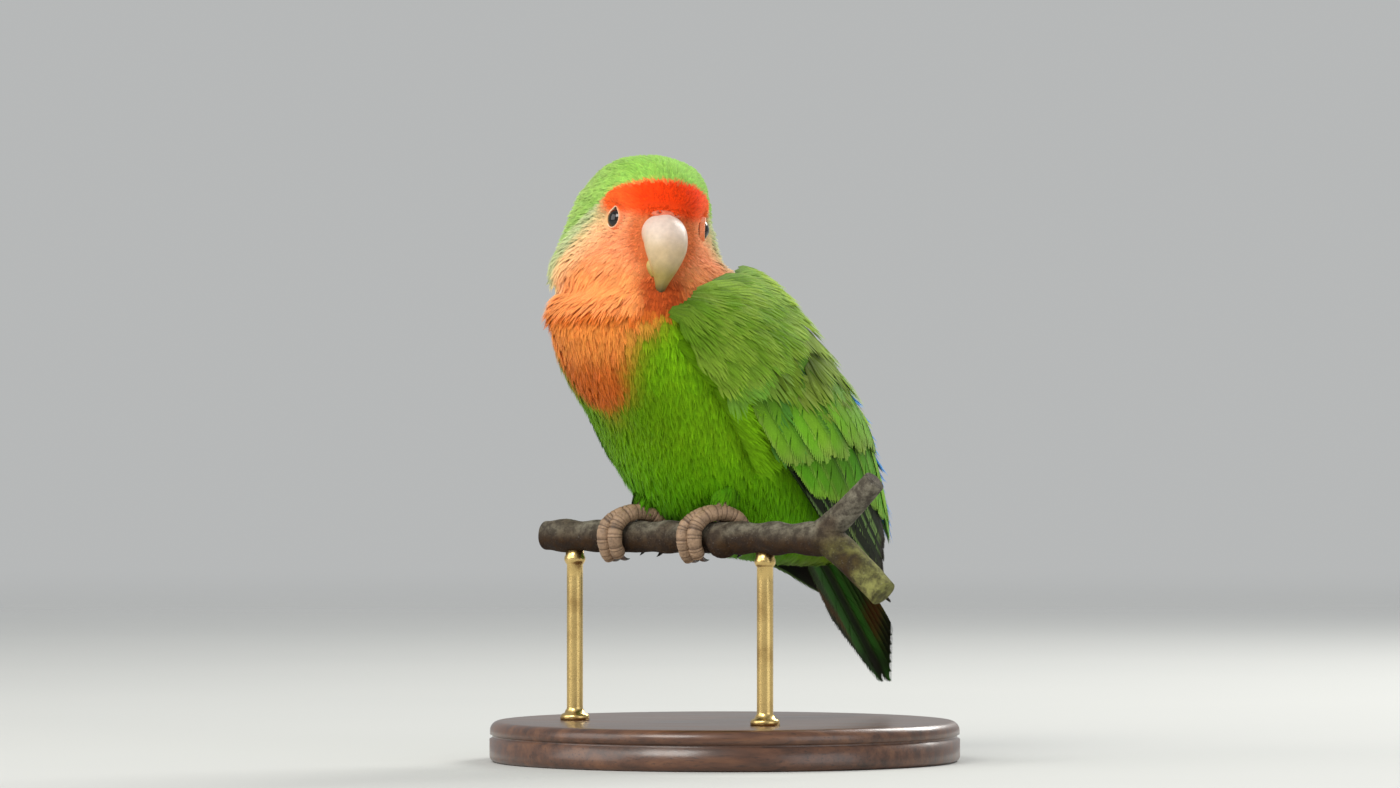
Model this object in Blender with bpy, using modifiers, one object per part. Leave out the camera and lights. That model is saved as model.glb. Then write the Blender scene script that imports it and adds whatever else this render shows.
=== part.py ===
"""Peach-faced lovebird at life size, perched on a cut length of branch over a plain display stand."""

import math
import random

import bmesh
import bpy
from mathutils import Matrix, Vector

# Scale: every size below is in millimetres, and every mesh is made in metres
MM = 0.001
GAP = 0.3

# Placing: the bird's own frame has x ahead, y to its left and z up, from the middle of its grip
PERCH_HEIGHT = 55.5
BIRD_PLACE = (-15.7, -11.5, PERCH_HEIGHT)
BIRD_HEADING = math.radians(225)

# Body: rings across an axis that leans back, at a along it, b towards the back from its line
LEAN = math.radians(43)
ALONG = Vector((-math.sin(LEAN), 0, -math.cos(LEAN)))
BACKWARD = Vector((-math.cos(LEAN), 0, math.sin(LEAN)))
BODY_SIDES = 28
BODY_STEP = 6.0
BACK_SQUARENESS = 2.2
BELLY_SQUARENESS = 2.15
# a, b of the ring's middle, and its reach towards the back, the belly and each side
BODY_RINGS = (
    (-62, 27, 2, 2, 2),
    (-59, 27, 13, 13, 14),
    (-52, 29, 20, 18.5, 20),
    (-40, 31.5, 24.5, 23, 25),
    (-27, 33, 27, 25, 26),
    (-12, 34.5, 27, 29, 26),
    (3, 35.5, 25.5, 30, 25),
    (16, 37, 23, 26.5, 22.5),
    (28, 39, 19.5, 19, 18.5),
    (38, 41.5, 15, 12.5, 13.5),
    (46, 44.5, 10, 7, 9),
    (50, 46.5, 2, 2, 2),
)
NECK_CUT = -44.0

# Head: rings across its own upright axis, turned to the left and tilted
HEAD_PLACE = Vector((5.0, 2.4, 77.0))
HEAD_TURN = math.radians(60)
HEAD_NOD = math.radians(4)
HEAD_TILT = math.radians(-7)
HEAD_SIDES = 26
HEAD_STEP = 3.0
# z, middle x, swing of the loose side, reach ahead and aside, and how much the front narrows
HEAD_RINGS = (
    (-21, -5, 0, 14.5, 15, 0.05),
    (-18, -5, 0, 20.5, 21, 0.08),
    (-14, -5, 0, 21.5, 21.8, 0.12),
    (-10, -4.5, -0.4, 20.3, 20.3, 0.16),
    (-6, -4, -1, 19.3, 18.6, 0.19),
    (-2, -3.5, -2, 18.8, 17.2, 0.2),
    (2, -3, -2.5, 18, 16, 0.18),
    (6, -2.5, -2, 17, 15.2, 0.16),
    (10, -2, -1.5, 15, 13.6, 0.12),
    (13, -2, -1, 12.3, 11.3, 0.08),
    (15.4, -2, 0, 8, 7.3, 0.05),
    (16.6, -2, 0, 1.5, 1.5, 0),
)

# Eyes
EYE_RADIUS = 3.1
EYE_PLACE = (5.0, 10.9, 0.4)
# the way the eye looks, its lids' ring, how far out that sits, and the strip's half thickness
EYE_OUTWARD = (0.34, 1.0, 0.1)
LID_RING = 3.35
LID_PLACE = 0.7
LID_THICK = 0.75
LID_STEPS = 14

# Bill: x and z of each section's middle, its slope, half height and half width
UPPER_BILL = (
    (9.5, -2.2, 0, 4.6, 4.8),
    (13.0, -2.2, 5, 4.9, 5.5),
    (16.2, -3.4, 32, 4.6, 5.5),
    (18.3, -6.2, 62, 3.9, 5.1),
    (19.2, -9.8, 84, 3.0, 4.1),
    (18.7, -13.4, 100, 1.9, 2.4),
    (17.7, -16.2, 110, 1.1, 1.3),
    (16.7, -18.4, 114, 0.3, 0.4),
)
LOWER_BILL = (
    (9.5, -9.2, 0, 3.0, 3.9),
    (12.5, -9.9, 22, 2.9, 4.0),
    (14.8, -11.2, 45, 2.3, 3.3),
    (16.0, -12.9, 62, 1.0, 2.2),
)
BILL_SIDES = 16
CERE_PLACE = (13.2, 0, 2.3)
CERE_REACH = (2.3, 5.2, 1.5)
NOSTRIL_PLACE = (14.9, 2.3, 3.1)
NOSTRIL_RADIUS = 0.65

# Wings: folded on a carrier round the body, at w from the back's midline, lifted off it
WING_SQUARENESS = 2.2
# a, b of the carrier's middle, and its reach to the back and aside
WING_RINGS = (
    (-52, 29, 19.5, 21),
    (-40, 31.5, 25.5, 27),
    (-27, 33, 29, 29.5),
    (-12, 34, 29.5, 30),
    (3, 34.6, 28.5, 29.5),
    (17, 36.5, 25.5, 26.5),
    (30, 38.5, 20.5, 21.5),
    (45, 40, 15, 15),
    (55, 40.5, 9.5, 10.5),
    (64, 40.5, 6, 7.5),
    (72, 40.5, 4, 5.5),
)
# a, w of the wing's upper and lower edges
WING_EDGES = (
    (-50, 20, 36),
    (-44, 12, 44.5),
    (-36, 8, 51.5),
    (-20, 6, 57.5),
    (0, 6, 59),
    (18, 6, 53),
    (33, 6, 42),
    (43, 5.5, 33),
    (52, 5, 23.5),
    (62, 4.5, 12),
)
# first and last a of the core under the vanes and its step, and its first and last share and their steps
WING_CORE = (-48.0, 36.0, 6.0)
WING_CORE_ACROSS = (0.06, 0.94, 5)
# the core's depth, and how it thins to its tail end
WING_CORE_DEPTH = 5.0
WING_CORE_TIP = (0.5, 0.15)
# vanes narrow over this length before this a, down to this share
WING_NARROWING = (40.0, 62.0, 0.3)
# Each tier: its name, count, the first and last vane's root and tip, their width, and the tip's lift.
# A root or tip is a along the body, and a share across the wing from its upper edge to its lower one.
WING_TIERS = (
    ("primary", 6, (2, 0.92), (20, 0.62), (61, 0.74), (45, 0.48), 7.5, 0.0),
    ("secondary", 7, (-13, 0.88), (17, 0.14), (8, 0.85), (48, 0.24), 9.0, 0.35),
    ("greater_covert", 6, (-24, 0.87), (2, 0.13), (-8, 0.88), (22, 0.14), 10.5, 0.75),
    ("median_covert", 6, (-35, 0.87), (-14, 0.12), (-20, 0.89), (5, 0.12), 10.5, 1.1),
    ("lesser_covert", 5, (-45, 0.82), (-32, 0.16), (-32, 0.88), (-12, 0.12), 11.5, 1.4),
    ("marginal_covert", 3, (-49, 0.7), (-46, 0.34), (-41, 0.8), (-28, 0.2), 13.0, 1.6),
)
# Along each vane: share of its length, share of its width, and share of its thickness
VANE_STATIONS = ((0, 0.6, 1), (0.5, 1, 1), (0.85, 0.8, 0.8), (1, 0.25, 0.5))
VANE_THICK = 0.66
# how far the edge towards the belly stands above the other edge
VANE_TILT = 0.7
ROOT_SINK = 0.5
# a vane has risen to its full lift after this share of its length
VANE_RISEN = 0.7
# how far one vane's length, width and lift may stray from its tier's
VANE_STRAY = (1.0, 0.5, 0.05)
VANE_SEED = 23

# Tail
TAIL_ROOT = (34.0, 38.5)
TAIL_TIP = (82.0, 33.5)
TAIL_PAIRS = 6
TAIL_VANE_WIDTH = 6.8
# the middle pair's lift over the next, and how much shorter each pair is than the one inside it
TAIL_STEP = 0.42
TAIL_GRADE = 0.055
# how far aside the middle pair lies and each pair more, at the root and at the tip
TAIL_FAN = ((0.9, 0.75), (1.3, 1.25))
TAIL_SINK = 0.06
TAIL_TILT = 0.15
TAIL_SIDES = 12
# share of the length, half width and half thickness of the flesh that the vanes grow from
TAIL_FLESH = ((0, 7.0, 3.4), (0.12, 7.6, 3.2), (0.25, 7.0, 2.2), (0.36, 4.5, 0.9))

# Feet, on the perch
PERCH_RADIUS = 4.0
PERCH_TURN = math.radians(100)
TOE_RADIUS = 2.0
TOE_REACH = PERCH_RADIUS + GAP + TOE_RADIUS - 0.2
TOE_STEPS = 9
TOE_KNUCKLE = 0.12
TOE_TAPER = 0.14
# how many degrees round the perch each toe goes, and how far along it the toe drifts on its way to the side
TOES = ((150, -6.4), (140, -3.2), (-112, 3.4), (-106, -2.0))
TOE_DRIFTED = 80.0
CLAW_LENGTH = 4.6
CLAW_RADIUS = 0.95
CLAW_BEND = math.radians(52)
CLAW_STEPS = 5
CLAW_TAPER = (0.88, 1.3)
CLAW_SINK = 0.4
SHANK_RADIUS = 2.1
SHANK_SINK = 0.6
# each ankle's place along the perch, and the shank's top from there: ahead, to the left, and its height
ANKLES = {"left": (17.5, (-9.0, -4.5, 15.0)), "right": (-6.3, (-8.0, -3.0, 14.0))}

# Perch and its fork
PERCH_START = -34.6
PERCH_FORK = 49.0
PERCH_STEP = 3.0
# the branch's swell, its waves to a millimetre in radians, and how far from a toe's middle it is back in full
PERCH_SWELL = 0.3
PERCH_WAVE = 0.6
PERCH_FREE = 12.0
# the grips' middles along the perch, where the branch is even
PERCH_GRIPS = (12.7, -11.1)
# a lump beside the left foot: along the perch, ahead, up, and its radius
LUMP = (19.5, 1.3, -0.8, 4.5)
# how far along and up each cut end of the fork lies, and its radius
PERCH_END = (65.5, -13.0, 3.6)
TWIG_END = (63.0, 14.0, 2.9)
PERCH_END_SHARES = (0.3, 0.65, 1.0)
PERCH_BEND = 1.15
TWIG_SINK = 3.0
TWIG_SAG = 0.08
TWIG_SWELL = (0.7, 0.3, 0.0)
KNOT_PLACE = 47.0
KNOT_REACH = (4.9, 4.9, 4.6)

# Stand
BASE_RADIUS = 58.0
BASE_HEIGHT = 10.0
BASE_EDGE = 1.5
ROD_RADIUS = 2.0
ROD_PLACES = {"stand_rod_right": -26.0, "stand_rod_left": 31.0}

COLOURS = {
    "head": (0.95, 0.35, 0.16, 0.8),
    "neck": (0.85, 0.42, 0.14, 0.8),
    "torso": (0.24, 0.48, 0.06, 0.8),
    "wing": (0.15, 0.36, 0.06, 0.7),
    "tail": (0.06, 0.2, 0.08, 0.7),
    "leg": (0.45, 0.36, 0.34, 0.7),
    "claw": (0.12, 0.1, 0.1, 0.4),
    "eye": (0.01, 0.01, 0.01, 0.08),
    "bill": (0.8, 0.74, 0.6, 0.35),
    "perch": (0.2, 0.15, 0.12, 0.85),
    "stand_base": (0.09, 0.05, 0.03, 0.4),
    "stand_rod": (0.6, 0.55, 0.4, 0.3),
}


# Curves through named sections
def through(rows):
    """A function that reads smooth values between rows whose first value is the place."""
    places = [row[0] for row in rows]

    def slope(index, column):
        low = max(index - 1, 0)
        high = min(index + 1, len(rows) - 1)
        return (rows[high][column] - rows[low][column]) / (places[high] - places[low])

    def values(place):
        place = min(max(place, places[0]), places[-1])
        index = max(i for i in range(len(rows) - 1) if places[i] <= place)
        span = places[index + 1] - places[index]
        t = (place - places[index]) / span
        found = []
        for column in range(1, len(rows[0])):
            start, end = rows[index][column], rows[index + 1][column]
            leave, arrive = slope(index, column) * span, slope(index + 1, column) * span
            found.append(
                (2 * t**3 - 3 * t**2 + 1) * start
                + (t**3 - 2 * t**2 + t) * leave
                + (3 * t**2 - 2 * t**3) * end
                + (t**3 - t**2) * arrive
            )
        return found

    return values


def places_between(first, last, step):
    """Even places from first to last, about a step apart."""
    count = max(1, round(abs(last - first) / step))
    return [first + (last - first) * i / count for i in range(count + 1)]


def squared(turn, squareness):
    """How far a rounded square reaches in this direction, against a circle's 1."""
    return (abs(math.cos(turn)) ** squareness + abs(math.sin(turn)) ** squareness) ** (-1 / squareness)


# Mesh helpers
def object_from(name, mesh):
    made = bpy.data.objects.new(name, mesh)
    bpy.context.scene.collection.objects.link(made)
    return made


def object_of(name, form):
    """A new object from a bmesh whose faces are then turned out."""
    bmesh.ops.recalc_face_normals(form, faces=form.faces)
    mesh = bpy.data.meshes.new(name)
    form.to_mesh(mesh)
    form.free()
    return object_from(name, mesh)


def loft(name, rings, crescent=False):
    """A closed solid through rings of points in millimetres.

    Each end is drawn to its middle or, on a crescent, closed from its outer half to its inner one.
    """
    form = bmesh.new()
    rows = [[form.verts.new(Vector(point) * MM) for point in ring] for ring in rings]
    for near, far in zip(rows, rows[1:]):
        for i in range(len(near)):
            j = (i + 1) % len(near)
            form.faces.new((near[i], near[j], far[j], far[i]))
    for row in (rows[0], rows[-1]):
        if crescent:
            for i in range(len(row) // 2 - 1):
                form.faces.new((row[i], row[i + 1], row[-2 - i], row[-1 - i]))
            continue
        middle = sum((corner.co for corner in row), Vector()) / len(row)
        pole = form.verts.new(middle)
        for i in range(len(row)):
            form.faces.new((row[i], row[(i + 1) % len(row)], pole))
    bmesh.ops.triangulate(form, faces=form.faces)
    return object_of(name, form)


def ball(name, place, reach, sides=20, rings=12):
    """An ellipsoid: place in millimetres, reach a radius along each axis."""
    form = bmesh.new()
    bmesh.ops.create_uvsphere(form, u_segments=sides, v_segments=rings, radius=1)
    size = Matrix.Diagonal((*(Vector(reach) * MM), 1))
    bmesh.ops.transform(form, matrix=Matrix.Translation(Vector(place) * MM) @ size, verts=form.verts)
    return object_of(name, form)


def rod_between(name, bottom, top, radius, sides=24):
    form = bmesh.new()
    wide = radius * MM
    long = (top.z - bottom.z) * MM
    bmesh.ops.create_cone(form, cap_ends=True, segments=sides, radius1=wide, radius2=wide, depth=long)
    bmesh.ops.translate(form, vec=(bottom + top) * 0.5 * MM, verts=form.verts)
    return object_of(name, form)


def tube(name, points, radii, resolution=2):
    """A round tube through the points, as a mesh: radii holds its radius at each."""
    curve = bpy.data.curves.new(name, "CURVE")
    curve.dimensions = "3D"
    curve.bevel_depth = MM
    curve.bevel_resolution = resolution
    curve.use_fill_caps = True
    spline = curve.splines.new("POLY")
    spline.points.add(len(points) - 1)
    for corner, point, radius in zip(spline.points, points, radii):
        corner.co = (*(Vector(point) * MM), 1)
        corner.radius = radius
    guide = object_from(name + "_route", curve)
    graph = bpy.context.evaluated_depsgraph_get()
    mesh = bpy.data.meshes.new_from_object(guide.evaluated_get(graph))
    bpy.data.objects.remove(guide)
    form = bmesh.new()
    form.from_mesh(mesh)
    bpy.data.meshes.remove(mesh)
    bmesh.ops.remove_doubles(form, verts=form.verts, dist=0.00001)
    bmesh.ops.triangulate(form, faces=form.faces)
    return object_of(name, form)


def applied(piece):
    """The piece with its modifiers made part of its mesh."""
    graph = bpy.context.evaluated_depsgraph_get()
    mesh = bpy.data.meshes.new_from_object(piece.evaluated_get(graph))
    piece.modifiers.clear()
    piece.data = mesh
    return piece


def largest_only(piece):
    """Keeps the largest closed surface, which drops scraps and fills sealed hollows."""
    form = bmesh.new()
    form.from_mesh(piece.data)
    waiting = set(form.verts)
    shells = []
    while waiting:
        shell = set()
        edge = [waiting.pop()]
        while edge:
            corner = edge.pop()
            shell.add(corner)
            near = {link.other_vert(corner) for link in corner.link_edges} & waiting
            waiting -= near
            edge.extend(near)
        shells.append(shell)
    shells.sort(key=len)
    for shell in shells[:-1]:
        bmesh.ops.delete(form, geom=list(shell), context="VERTS")
    form.to_mesh(piece.data)
    form.free()
    return piece


def boolean(piece, others, operation, solver):
    group = bpy.data.collections.new(piece.name + "_tools")
    bpy.context.scene.collection.children.link(group)
    for other in others:
        group.objects.link(other)
    change = piece.modifiers.new(operation.lower(), "BOOLEAN")
    change.operation = operation
    change.operand_type = "COLLECTION"
    change.collection = group
    change.solver = solver
    applied(piece)
    for other in others:
        bpy.data.objects.remove(other)
    bpy.data.collections.remove(group)
    return largest_only(piece)


def joined(piece, others, solver="EXACT"):
    return boolean(piece, others, "UNION", solver)


def cut(piece, cutters, solver="EXACT"):
    return boolean(piece, cutters, "DIFFERENCE", solver)


def grown(piece, by=GAP):
    """A copy whose surface stands off by the gap, to cut a neighbour with."""
    form = bmesh.new()
    form.from_mesh(piece.data)
    form.normal_update()
    for corner in form.verts:
        corner.co += corner.normal * (by * MM * corner.calc_shell_factor())
    return object_of(piece.name + "_grown", form)


def kept_side(piece, name, place, direction):
    """A copy of the piece on one side of a plane, closed there."""
    form = bmesh.new()
    form.from_mesh(piece.data)
    every = list(form.verts) + list(form.edges) + list(form.faces)
    cutting = bmesh.ops.bisect_plane(
        form, geom=every, dist=1e-7, plane_co=place * MM, plane_no=direction, clear_inner=True
    )
    rim = [part for part in cutting["geom_cut"] if isinstance(part, bmesh.types.BMEdge)]
    bmesh.ops.holes_fill(form, edges=rim, sides=0)
    bmesh.ops.triangulate(form, faces=form.faces)
    return object_of(name, form)


# Body
def on_axis(a, b, aside=0.0):
    return ALONG * a + BACKWARD * b + Vector((0, aside, 0))


def body_ring(rows, a):
    middle, back, belly, side = rows(a)
    ring = []
    for i in range(BODY_SIDES):
        turn = 2 * math.pi * i / BODY_SIDES
        to_back = math.cos(turn) > 0
        reach = squared(turn, BACK_SQUARENESS if to_back else BELLY_SQUARENESS)
        deep = back if to_back else belly
        ring.append(on_axis(a, middle + reach * math.cos(turn) * deep, reach * math.sin(turn) * side))
    return ring


def make_body():
    """The whole trunk with its neck, before it is parted."""
    rows = through(BODY_RINGS)
    ends = [BODY_RINGS[0][0], BODY_RINGS[1][0], BODY_RINGS[-1][0]]
    places = [ends[0]] + places_between(ends[1], BODY_RINGS[-2][0], BODY_STEP) + [ends[2]]
    return loft("body", [body_ring(rows, a) for a in places])


def part_body(body, above):
    """The torso and the neck: the trunk hollowed for what sits on it, then parted across its axis."""
    trunk = cut(object_from("trunk", body.data.copy()), [grown(piece) for piece in above])
    torso = kept_side(trunk, "torso", on_axis(NECK_CUT + GAP / 2, 0), ALONG)
    neck = kept_side(trunk, "neck", on_axis(NECK_CUT - GAP / 2, 0), -ALONG)
    bpy.data.objects.remove(trunk)
    return largest_only(torso), largest_only(neck)


# Head
def head_matrix():
    turn = Matrix.Rotation(HEAD_TURN, 4, "Z") @ Matrix.Rotation(HEAD_NOD, 4, "Y")
    turn = turn @ Matrix.Rotation(HEAD_TILT, 4, "X")
    return Matrix.Translation(HEAD_PLACE) @ turn


def in_head(place):
    return head_matrix() @ Vector(place)


def to_head(piece):
    """Moves a piece made about the head's own origin to the head."""
    shift = head_matrix()
    shift.translation = shift.translation * MM
    piece.data.transform(shift)
    return piece


def head_ring(rows, z):
    middle, loose, ahead, aside, narrowing = rows(z)
    ring = []
    for i in range(HEAD_SIDES):
        turn = 2 * math.pi * i / HEAD_SIDES
        x = middle + ahead * math.cos(turn)
        y = aside * math.sin(turn) * (1 - narrowing * math.cos(turn)) + loose * (1 - math.cos(turn)) / 2
        ring.append(in_head((x, y, z)))
    return ring


def make_skull():
    rows = through(HEAD_RINGS)
    low, high = HEAD_RINGS[0][0], HEAD_RINGS[-1][0]
    return loft("head", [head_ring(rows, z) for z in places_between(low, high, HEAD_STEP)])


def eye_place(side):
    x, y, z = EYE_PLACE
    return Vector((x, side * y, z))


def make_eye(name, side):
    return to_head(ball(name, eye_place(side), (EYE_RADIUS,) * 3, 16, 9))


def make_lid(side):
    """The ring of lids round an eye."""
    ahead, aside, up = EYE_OUTWARD
    outward = Vector((ahead, side * aside, up)).normalized()
    across = Vector((aside, -side * ahead, 0)).normalized()
    upward = outward.cross(across)
    middle = eye_place(side) + outward * LID_PLACE
    points = []
    for i in range(LID_STEPS):
        turn = 2 * math.pi * i / LID_STEPS
        points.append(middle + (across * math.cos(turn) + upward * math.sin(turn)) * LID_RING)
    rings = []
    for point in points:
        out = (point - middle).normalized()
        rings.append(
            [
                in_head(point + (out * math.cos(t) + outward * math.sin(t)) * LID_THICK)
                for t in (math.pi * (k + 0.5) / 2 for k in range(4))
            ]
        )
    return hoop("lid", rings)


def hoop(name, rings):
    """A closed hoop through rings of points."""
    form = bmesh.new()
    rows = [[form.verts.new(point * MM) for point in ring] for ring in rings]
    for near, far in zip(rows, rows[1:] + rows[:1]):
        for i in range(len(near)):
            j = (i + 1) % len(near)
            form.faces.new((near[i], near[j], far[j], far[i]))
    bmesh.ops.triangulate(form, faces=form.faces)
    return object_of(name, form)


def bill_part(name, sections):
    """A horn sheath through sections that follow its bend."""
    rings = []
    for x, z, slope, high, wide in sections:
        down = math.radians(slope)
        upward = Vector((math.sin(down), 0, math.cos(down)))
        middle = Vector((x, 0, z))
        ring = []
        for i in range(BILL_SIDES):
            turn = 2 * math.pi * i / BILL_SIDES
            aside = Vector((0, math.sin(turn) * wide, 0))
            ring.append(in_head(middle + upward * math.cos(turn) * high + aside))
        rings.append(ring)
    return loft(name, rings)


def make_head(skull, bills):
    head = skull
    cere = to_head(ball("cere", CERE_PLACE, CERE_REACH, 14, 8))
    joined(head, [cere, make_lid(1), make_lid(-1)], "MANIFOLD")
    x, y, z = NOSTRIL_PLACE
    cutters = [to_head(ball("nostril", (x, side * y, z), (NOSTRIL_RADIUS,) * 3, 6, 5)) for side in (1, -1)]
    cutters += [to_head(ball("socket", eye_place(side), (EYE_RADIUS + GAP,) * 3, 16, 9)) for side in (1, -1)]
    cutters += [grown(bill) for bill in bills]
    return cut(head, cutters, "MANIFOLD")


# Vanes
def vane(name, stations):
    """A thin closed blade: each station is its corners, outer pair and then inner pair."""
    form = bmesh.new()
    rows = [[form.verts.new(point * MM) for point in corners] for corners in stations]
    for near, far in zip(rows, rows[1:]):
        for i, j in ((0, 1), (1, 3), (3, 2), (2, 0)):
            form.faces.new((near[i], near[j], far[j]))
            form.faces.new((near[i], far[j], far[i]))
    for one, two, four, three in (rows[0], rows[-1]):
        form.faces.new((one, two, three))
        form.faces.new((one, three, four))
    return object_of(name, form)


def spread(first, last, count):
    """Even steps of a pair of values, from first to last."""
    steps = [i / (count - 1) for i in range(count)]
    return [tuple(x + (y - x) * step for x, y in zip(first, last)) for step in steps]


# Wings
def wing_point(side, a, share, lift, shift=0.0):
    """A point over the carrier: share goes from the wing's upper edge to its lower one."""
    middle, back, aside = through(WING_RINGS)(a)
    upper, lower = through(WING_EDGES)(a)
    turn = 2 * (upper + (lower - upper) * share + shift) / (back + aside)
    reach = squared(turn, WING_SQUARENESS)
    deep = (back if math.cos(turn) > 0 else aside) + lift
    return on_axis(a, middle + reach * math.cos(turn) * deep, side * reach * math.sin(turn) * (aside + lift))


def wing_vane(name, side, root, tip, width, lift):
    """A vane over the carrier, its root sunk and its lower edge above its neighbour's upper one."""
    stations = []
    for along, wide, thick in VANE_STATIONS:
        a = root[0] + (tip[0] - root[0]) * along
        share = root[1] + (tip[1] - root[1]) * along
        over, last, least = WING_NARROWING
        half = width * wide * min(1.0, least + (last - a) / over) / 2
        level = -ROOT_SINK + (lift + ROOT_SINK) * min(1.0, along / VANE_RISEN)
        tilt = VANE_TILT / 2 * wide
        corners = []
        for face in (0.5, -0.5):
            for edge in (-1, 1):
                up = level + face * VANE_THICK * thick + edge * tilt
                corners.append(wing_point(side, a, share, up, edge * half))
        stations.append(corners)
    return vane(name, stations)


def make_wing(name, side):
    """A folded wing: a core, and over it tiers of vanes from the primaries up to the smallest coverts."""
    first, last, step = WING_CORE
    near, far, steps = WING_CORE_ACROSS
    shares = places_between(near, far, (far - near) / steps)
    thin, growth = WING_CORE_TIP
    rings = []
    for a in places_between(first, last, step):
        depth = min(WING_CORE_DEPTH, thin + (last - a) * growth)
        outer = [wing_point(side, a, share, 0) for share in shares]
        inner = [wing_point(side, a, share, -depth) for share in shares]
        rings.append(outer + inner[::-1])
    wing = loft(name, rings, crescent=True)
    vanes = []
    draw = random.Random(VANE_SEED)
    for tier, count, root_first, root_last, tip_first, tip_last, width, lift in WING_TIERS:
        roots, tips = spread(root_first, root_last, count), spread(tip_first, tip_last, count)
        for root, tip in zip(roots, tips):
            longer, wider, higher = (draw.uniform(-most, most) for most in VANE_STRAY)
            end = (tip[0] + longer, tip[1])
            vanes.append(wing_vane(tier, side, root, end, width + wider, lift + higher))
    return joined(wing, vanes, "MANIFOLD")


# Tail
def make_tail():
    """The folded tail: graduated pairs of vanes, the middle pair on top, out of a fleshy root."""
    root, tip = on_axis(*TAIL_ROOT), on_axis(*TAIL_TIP)
    length = (tip - root).length
    along = (tip - root).normalized()
    outward = Vector((0, 1, 0)).cross(along) * -1
    rings = []
    for share, wide, thick in TAIL_FLESH:
        ring = []
        for i in range(TAIL_SIDES):
            turn = 2 * math.pi * i / TAIL_SIDES
            aside = Vector((0, math.cos(turn) * wide, 0))
            ring.append(root + along * share * length + aside + outward * math.sin(turn) * thick)
        rings.append(ring)
    tail = loft("tail", rings)
    vanes = []
    for pair in range(TAIL_PAIRS):
        for side in (1, -1):
            reach = length * (1 - TAIL_GRADE * pair)
            lift = (TAIL_PAIRS / 2 - pair) * TAIL_STEP - (side - 1) * TAIL_STEP / 4 - TAIL_STEP
            stations = []
            near, far = (first + more * pair for first, more in TAIL_FAN)
            for share, wide, thick in VANE_STATIONS:
                aside = side * (near * (1 - share) + far * share)
                middle = root + along * (TAIL_SINK * length + (reach - TAIL_SINK * length) * share)
                half = TAIL_VANE_WIDTH * wide / 2
                corners = []
                for face in (0.5, -0.5):
                    for edge in (-1, 1):
                        up = lift + face * VANE_THICK * thick - edge * side * TAIL_TILT * wide
                        corners.append(middle + Vector((0, aside + edge * half, 0)) + outward * up)
                stations.append(corners)
            vanes.append(vane("rectrix", stations))
    return joined(tail, vanes, "MANIFOLD")


# Feet and perch
def perch_frame():
    """The perch's direction and the level direction across it, ahead of the bird."""
    along = Vector((math.cos(PERCH_TURN), math.sin(PERCH_TURN), 0))
    return along, Vector((along.y, -along.x, 0))


def round_perch(s, degrees, reach):
    """A point round the perch: 0 is its top and 90 its front."""
    along, ahead = perch_frame()
    turn = math.radians(degrees)
    return along * s + (ahead * math.sin(turn) + Vector((0, 0, math.cos(turn)))) * reach


def toe_route(ankle, round_it, drift):
    """Points from the ankle along a toe that slants over the perch and then grips it."""
    points = []
    for i in range(TOE_STEPS):
        degrees = round_it * i / (TOE_STEPS - 1)
        slanted = math.sin(math.radians(90) * min(1.0, abs(degrees) / TOE_DRIFTED))
        points.append(round_perch(ankle + drift * slanted, degrees, TOE_REACH))
    return points


def make_claw(name, route):
    """A hooked claw that goes on from the toe's end."""
    onward = (route[-1] - route[-2]).normalized()
    end = route[-1]
    level = Vector((end.x, end.y, 0))
    along = perch_frame()[0]
    inward = (along * level.dot(along) - end).normalized()
    points, radii = [end + onward * CLAW_SINK], [CLAW_RADIUS]
    taper, power = CLAW_TAPER
    for i in range(CLAW_STEPS):
        share = (i + 1) / CLAW_STEPS
        bend = CLAW_BEND * share
        step = onward * math.cos(bend) + inward * math.sin(bend)
        points.append(points[-1] + step * CLAW_LENGTH / CLAW_STEPS)
        radii.append(CLAW_RADIUS * (1 - taper * share**power))
    return tube(name, points, radii, 1)


def make_foot(name, place, top):
    """The shank and its four toes, with the routes that the claws go on from."""
    routes = [toe_route(place, round_it, drift) for round_it, drift in TOES]
    toes = []
    for route in routes:
        radii = []
        for i in range(len(route)):
            swell = TOE_KNUCKLE * math.sin(i * math.pi * 0.75)
            radii.append(TOE_RADIUS * (1 - TOE_TAPER * i / len(route)) + swell)
        toes.append(tube("toe", route, radii, 1))
    ankle = round_perch(place, 0, TOE_REACH)
    ahead, aside, high = top
    top = ankle + Vector((ahead, aside, high - ankle.z))
    low = ankle - Vector((0, 0, SHANK_SINK))
    shank = tube(name, [low, ankle.lerp(top, 0.5), top], [SHANK_RADIUS] * 3, 2)
    return joined(shank, toes), routes


def make_perch():
    """The cut branch: level where it is gripped, then bent down past its fork."""
    along, across = perch_frame()
    points, radii = [], []
    for s in places_between(PERCH_START, PERCH_FORK, PERCH_STEP):
        free = min(1.0, min(abs(s - grip) for grip in PERCH_GRIPS) / PERCH_FREE)
        points.append(along * s)
        radii.append(PERCH_RADIUS + PERCH_SWELL * free * math.sin(s * PERCH_WAVE))
    reach, drop, radius = PERCH_END
    for share in PERCH_END_SHARES:
        fallen = Vector((0, 0, drop * share**PERCH_BEND))
        points.append(along * (PERCH_FORK + (reach - PERCH_FORK) * share) + fallen)
        radii.append(PERCH_RADIUS + (radius - PERCH_RADIUS) * share)
    perch = tube("perch", points, radii, 3)
    knot = ball("knot", along * KNOT_PLACE, KNOT_REACH, 14, 9)
    s, ahead, up, radius = LUMP
    lump = ball("lump", along * s + across * ahead + Vector((0, 0, up)), (radius,) * 3, 14, 9)
    return joined(perch, [knot, lump])


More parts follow.
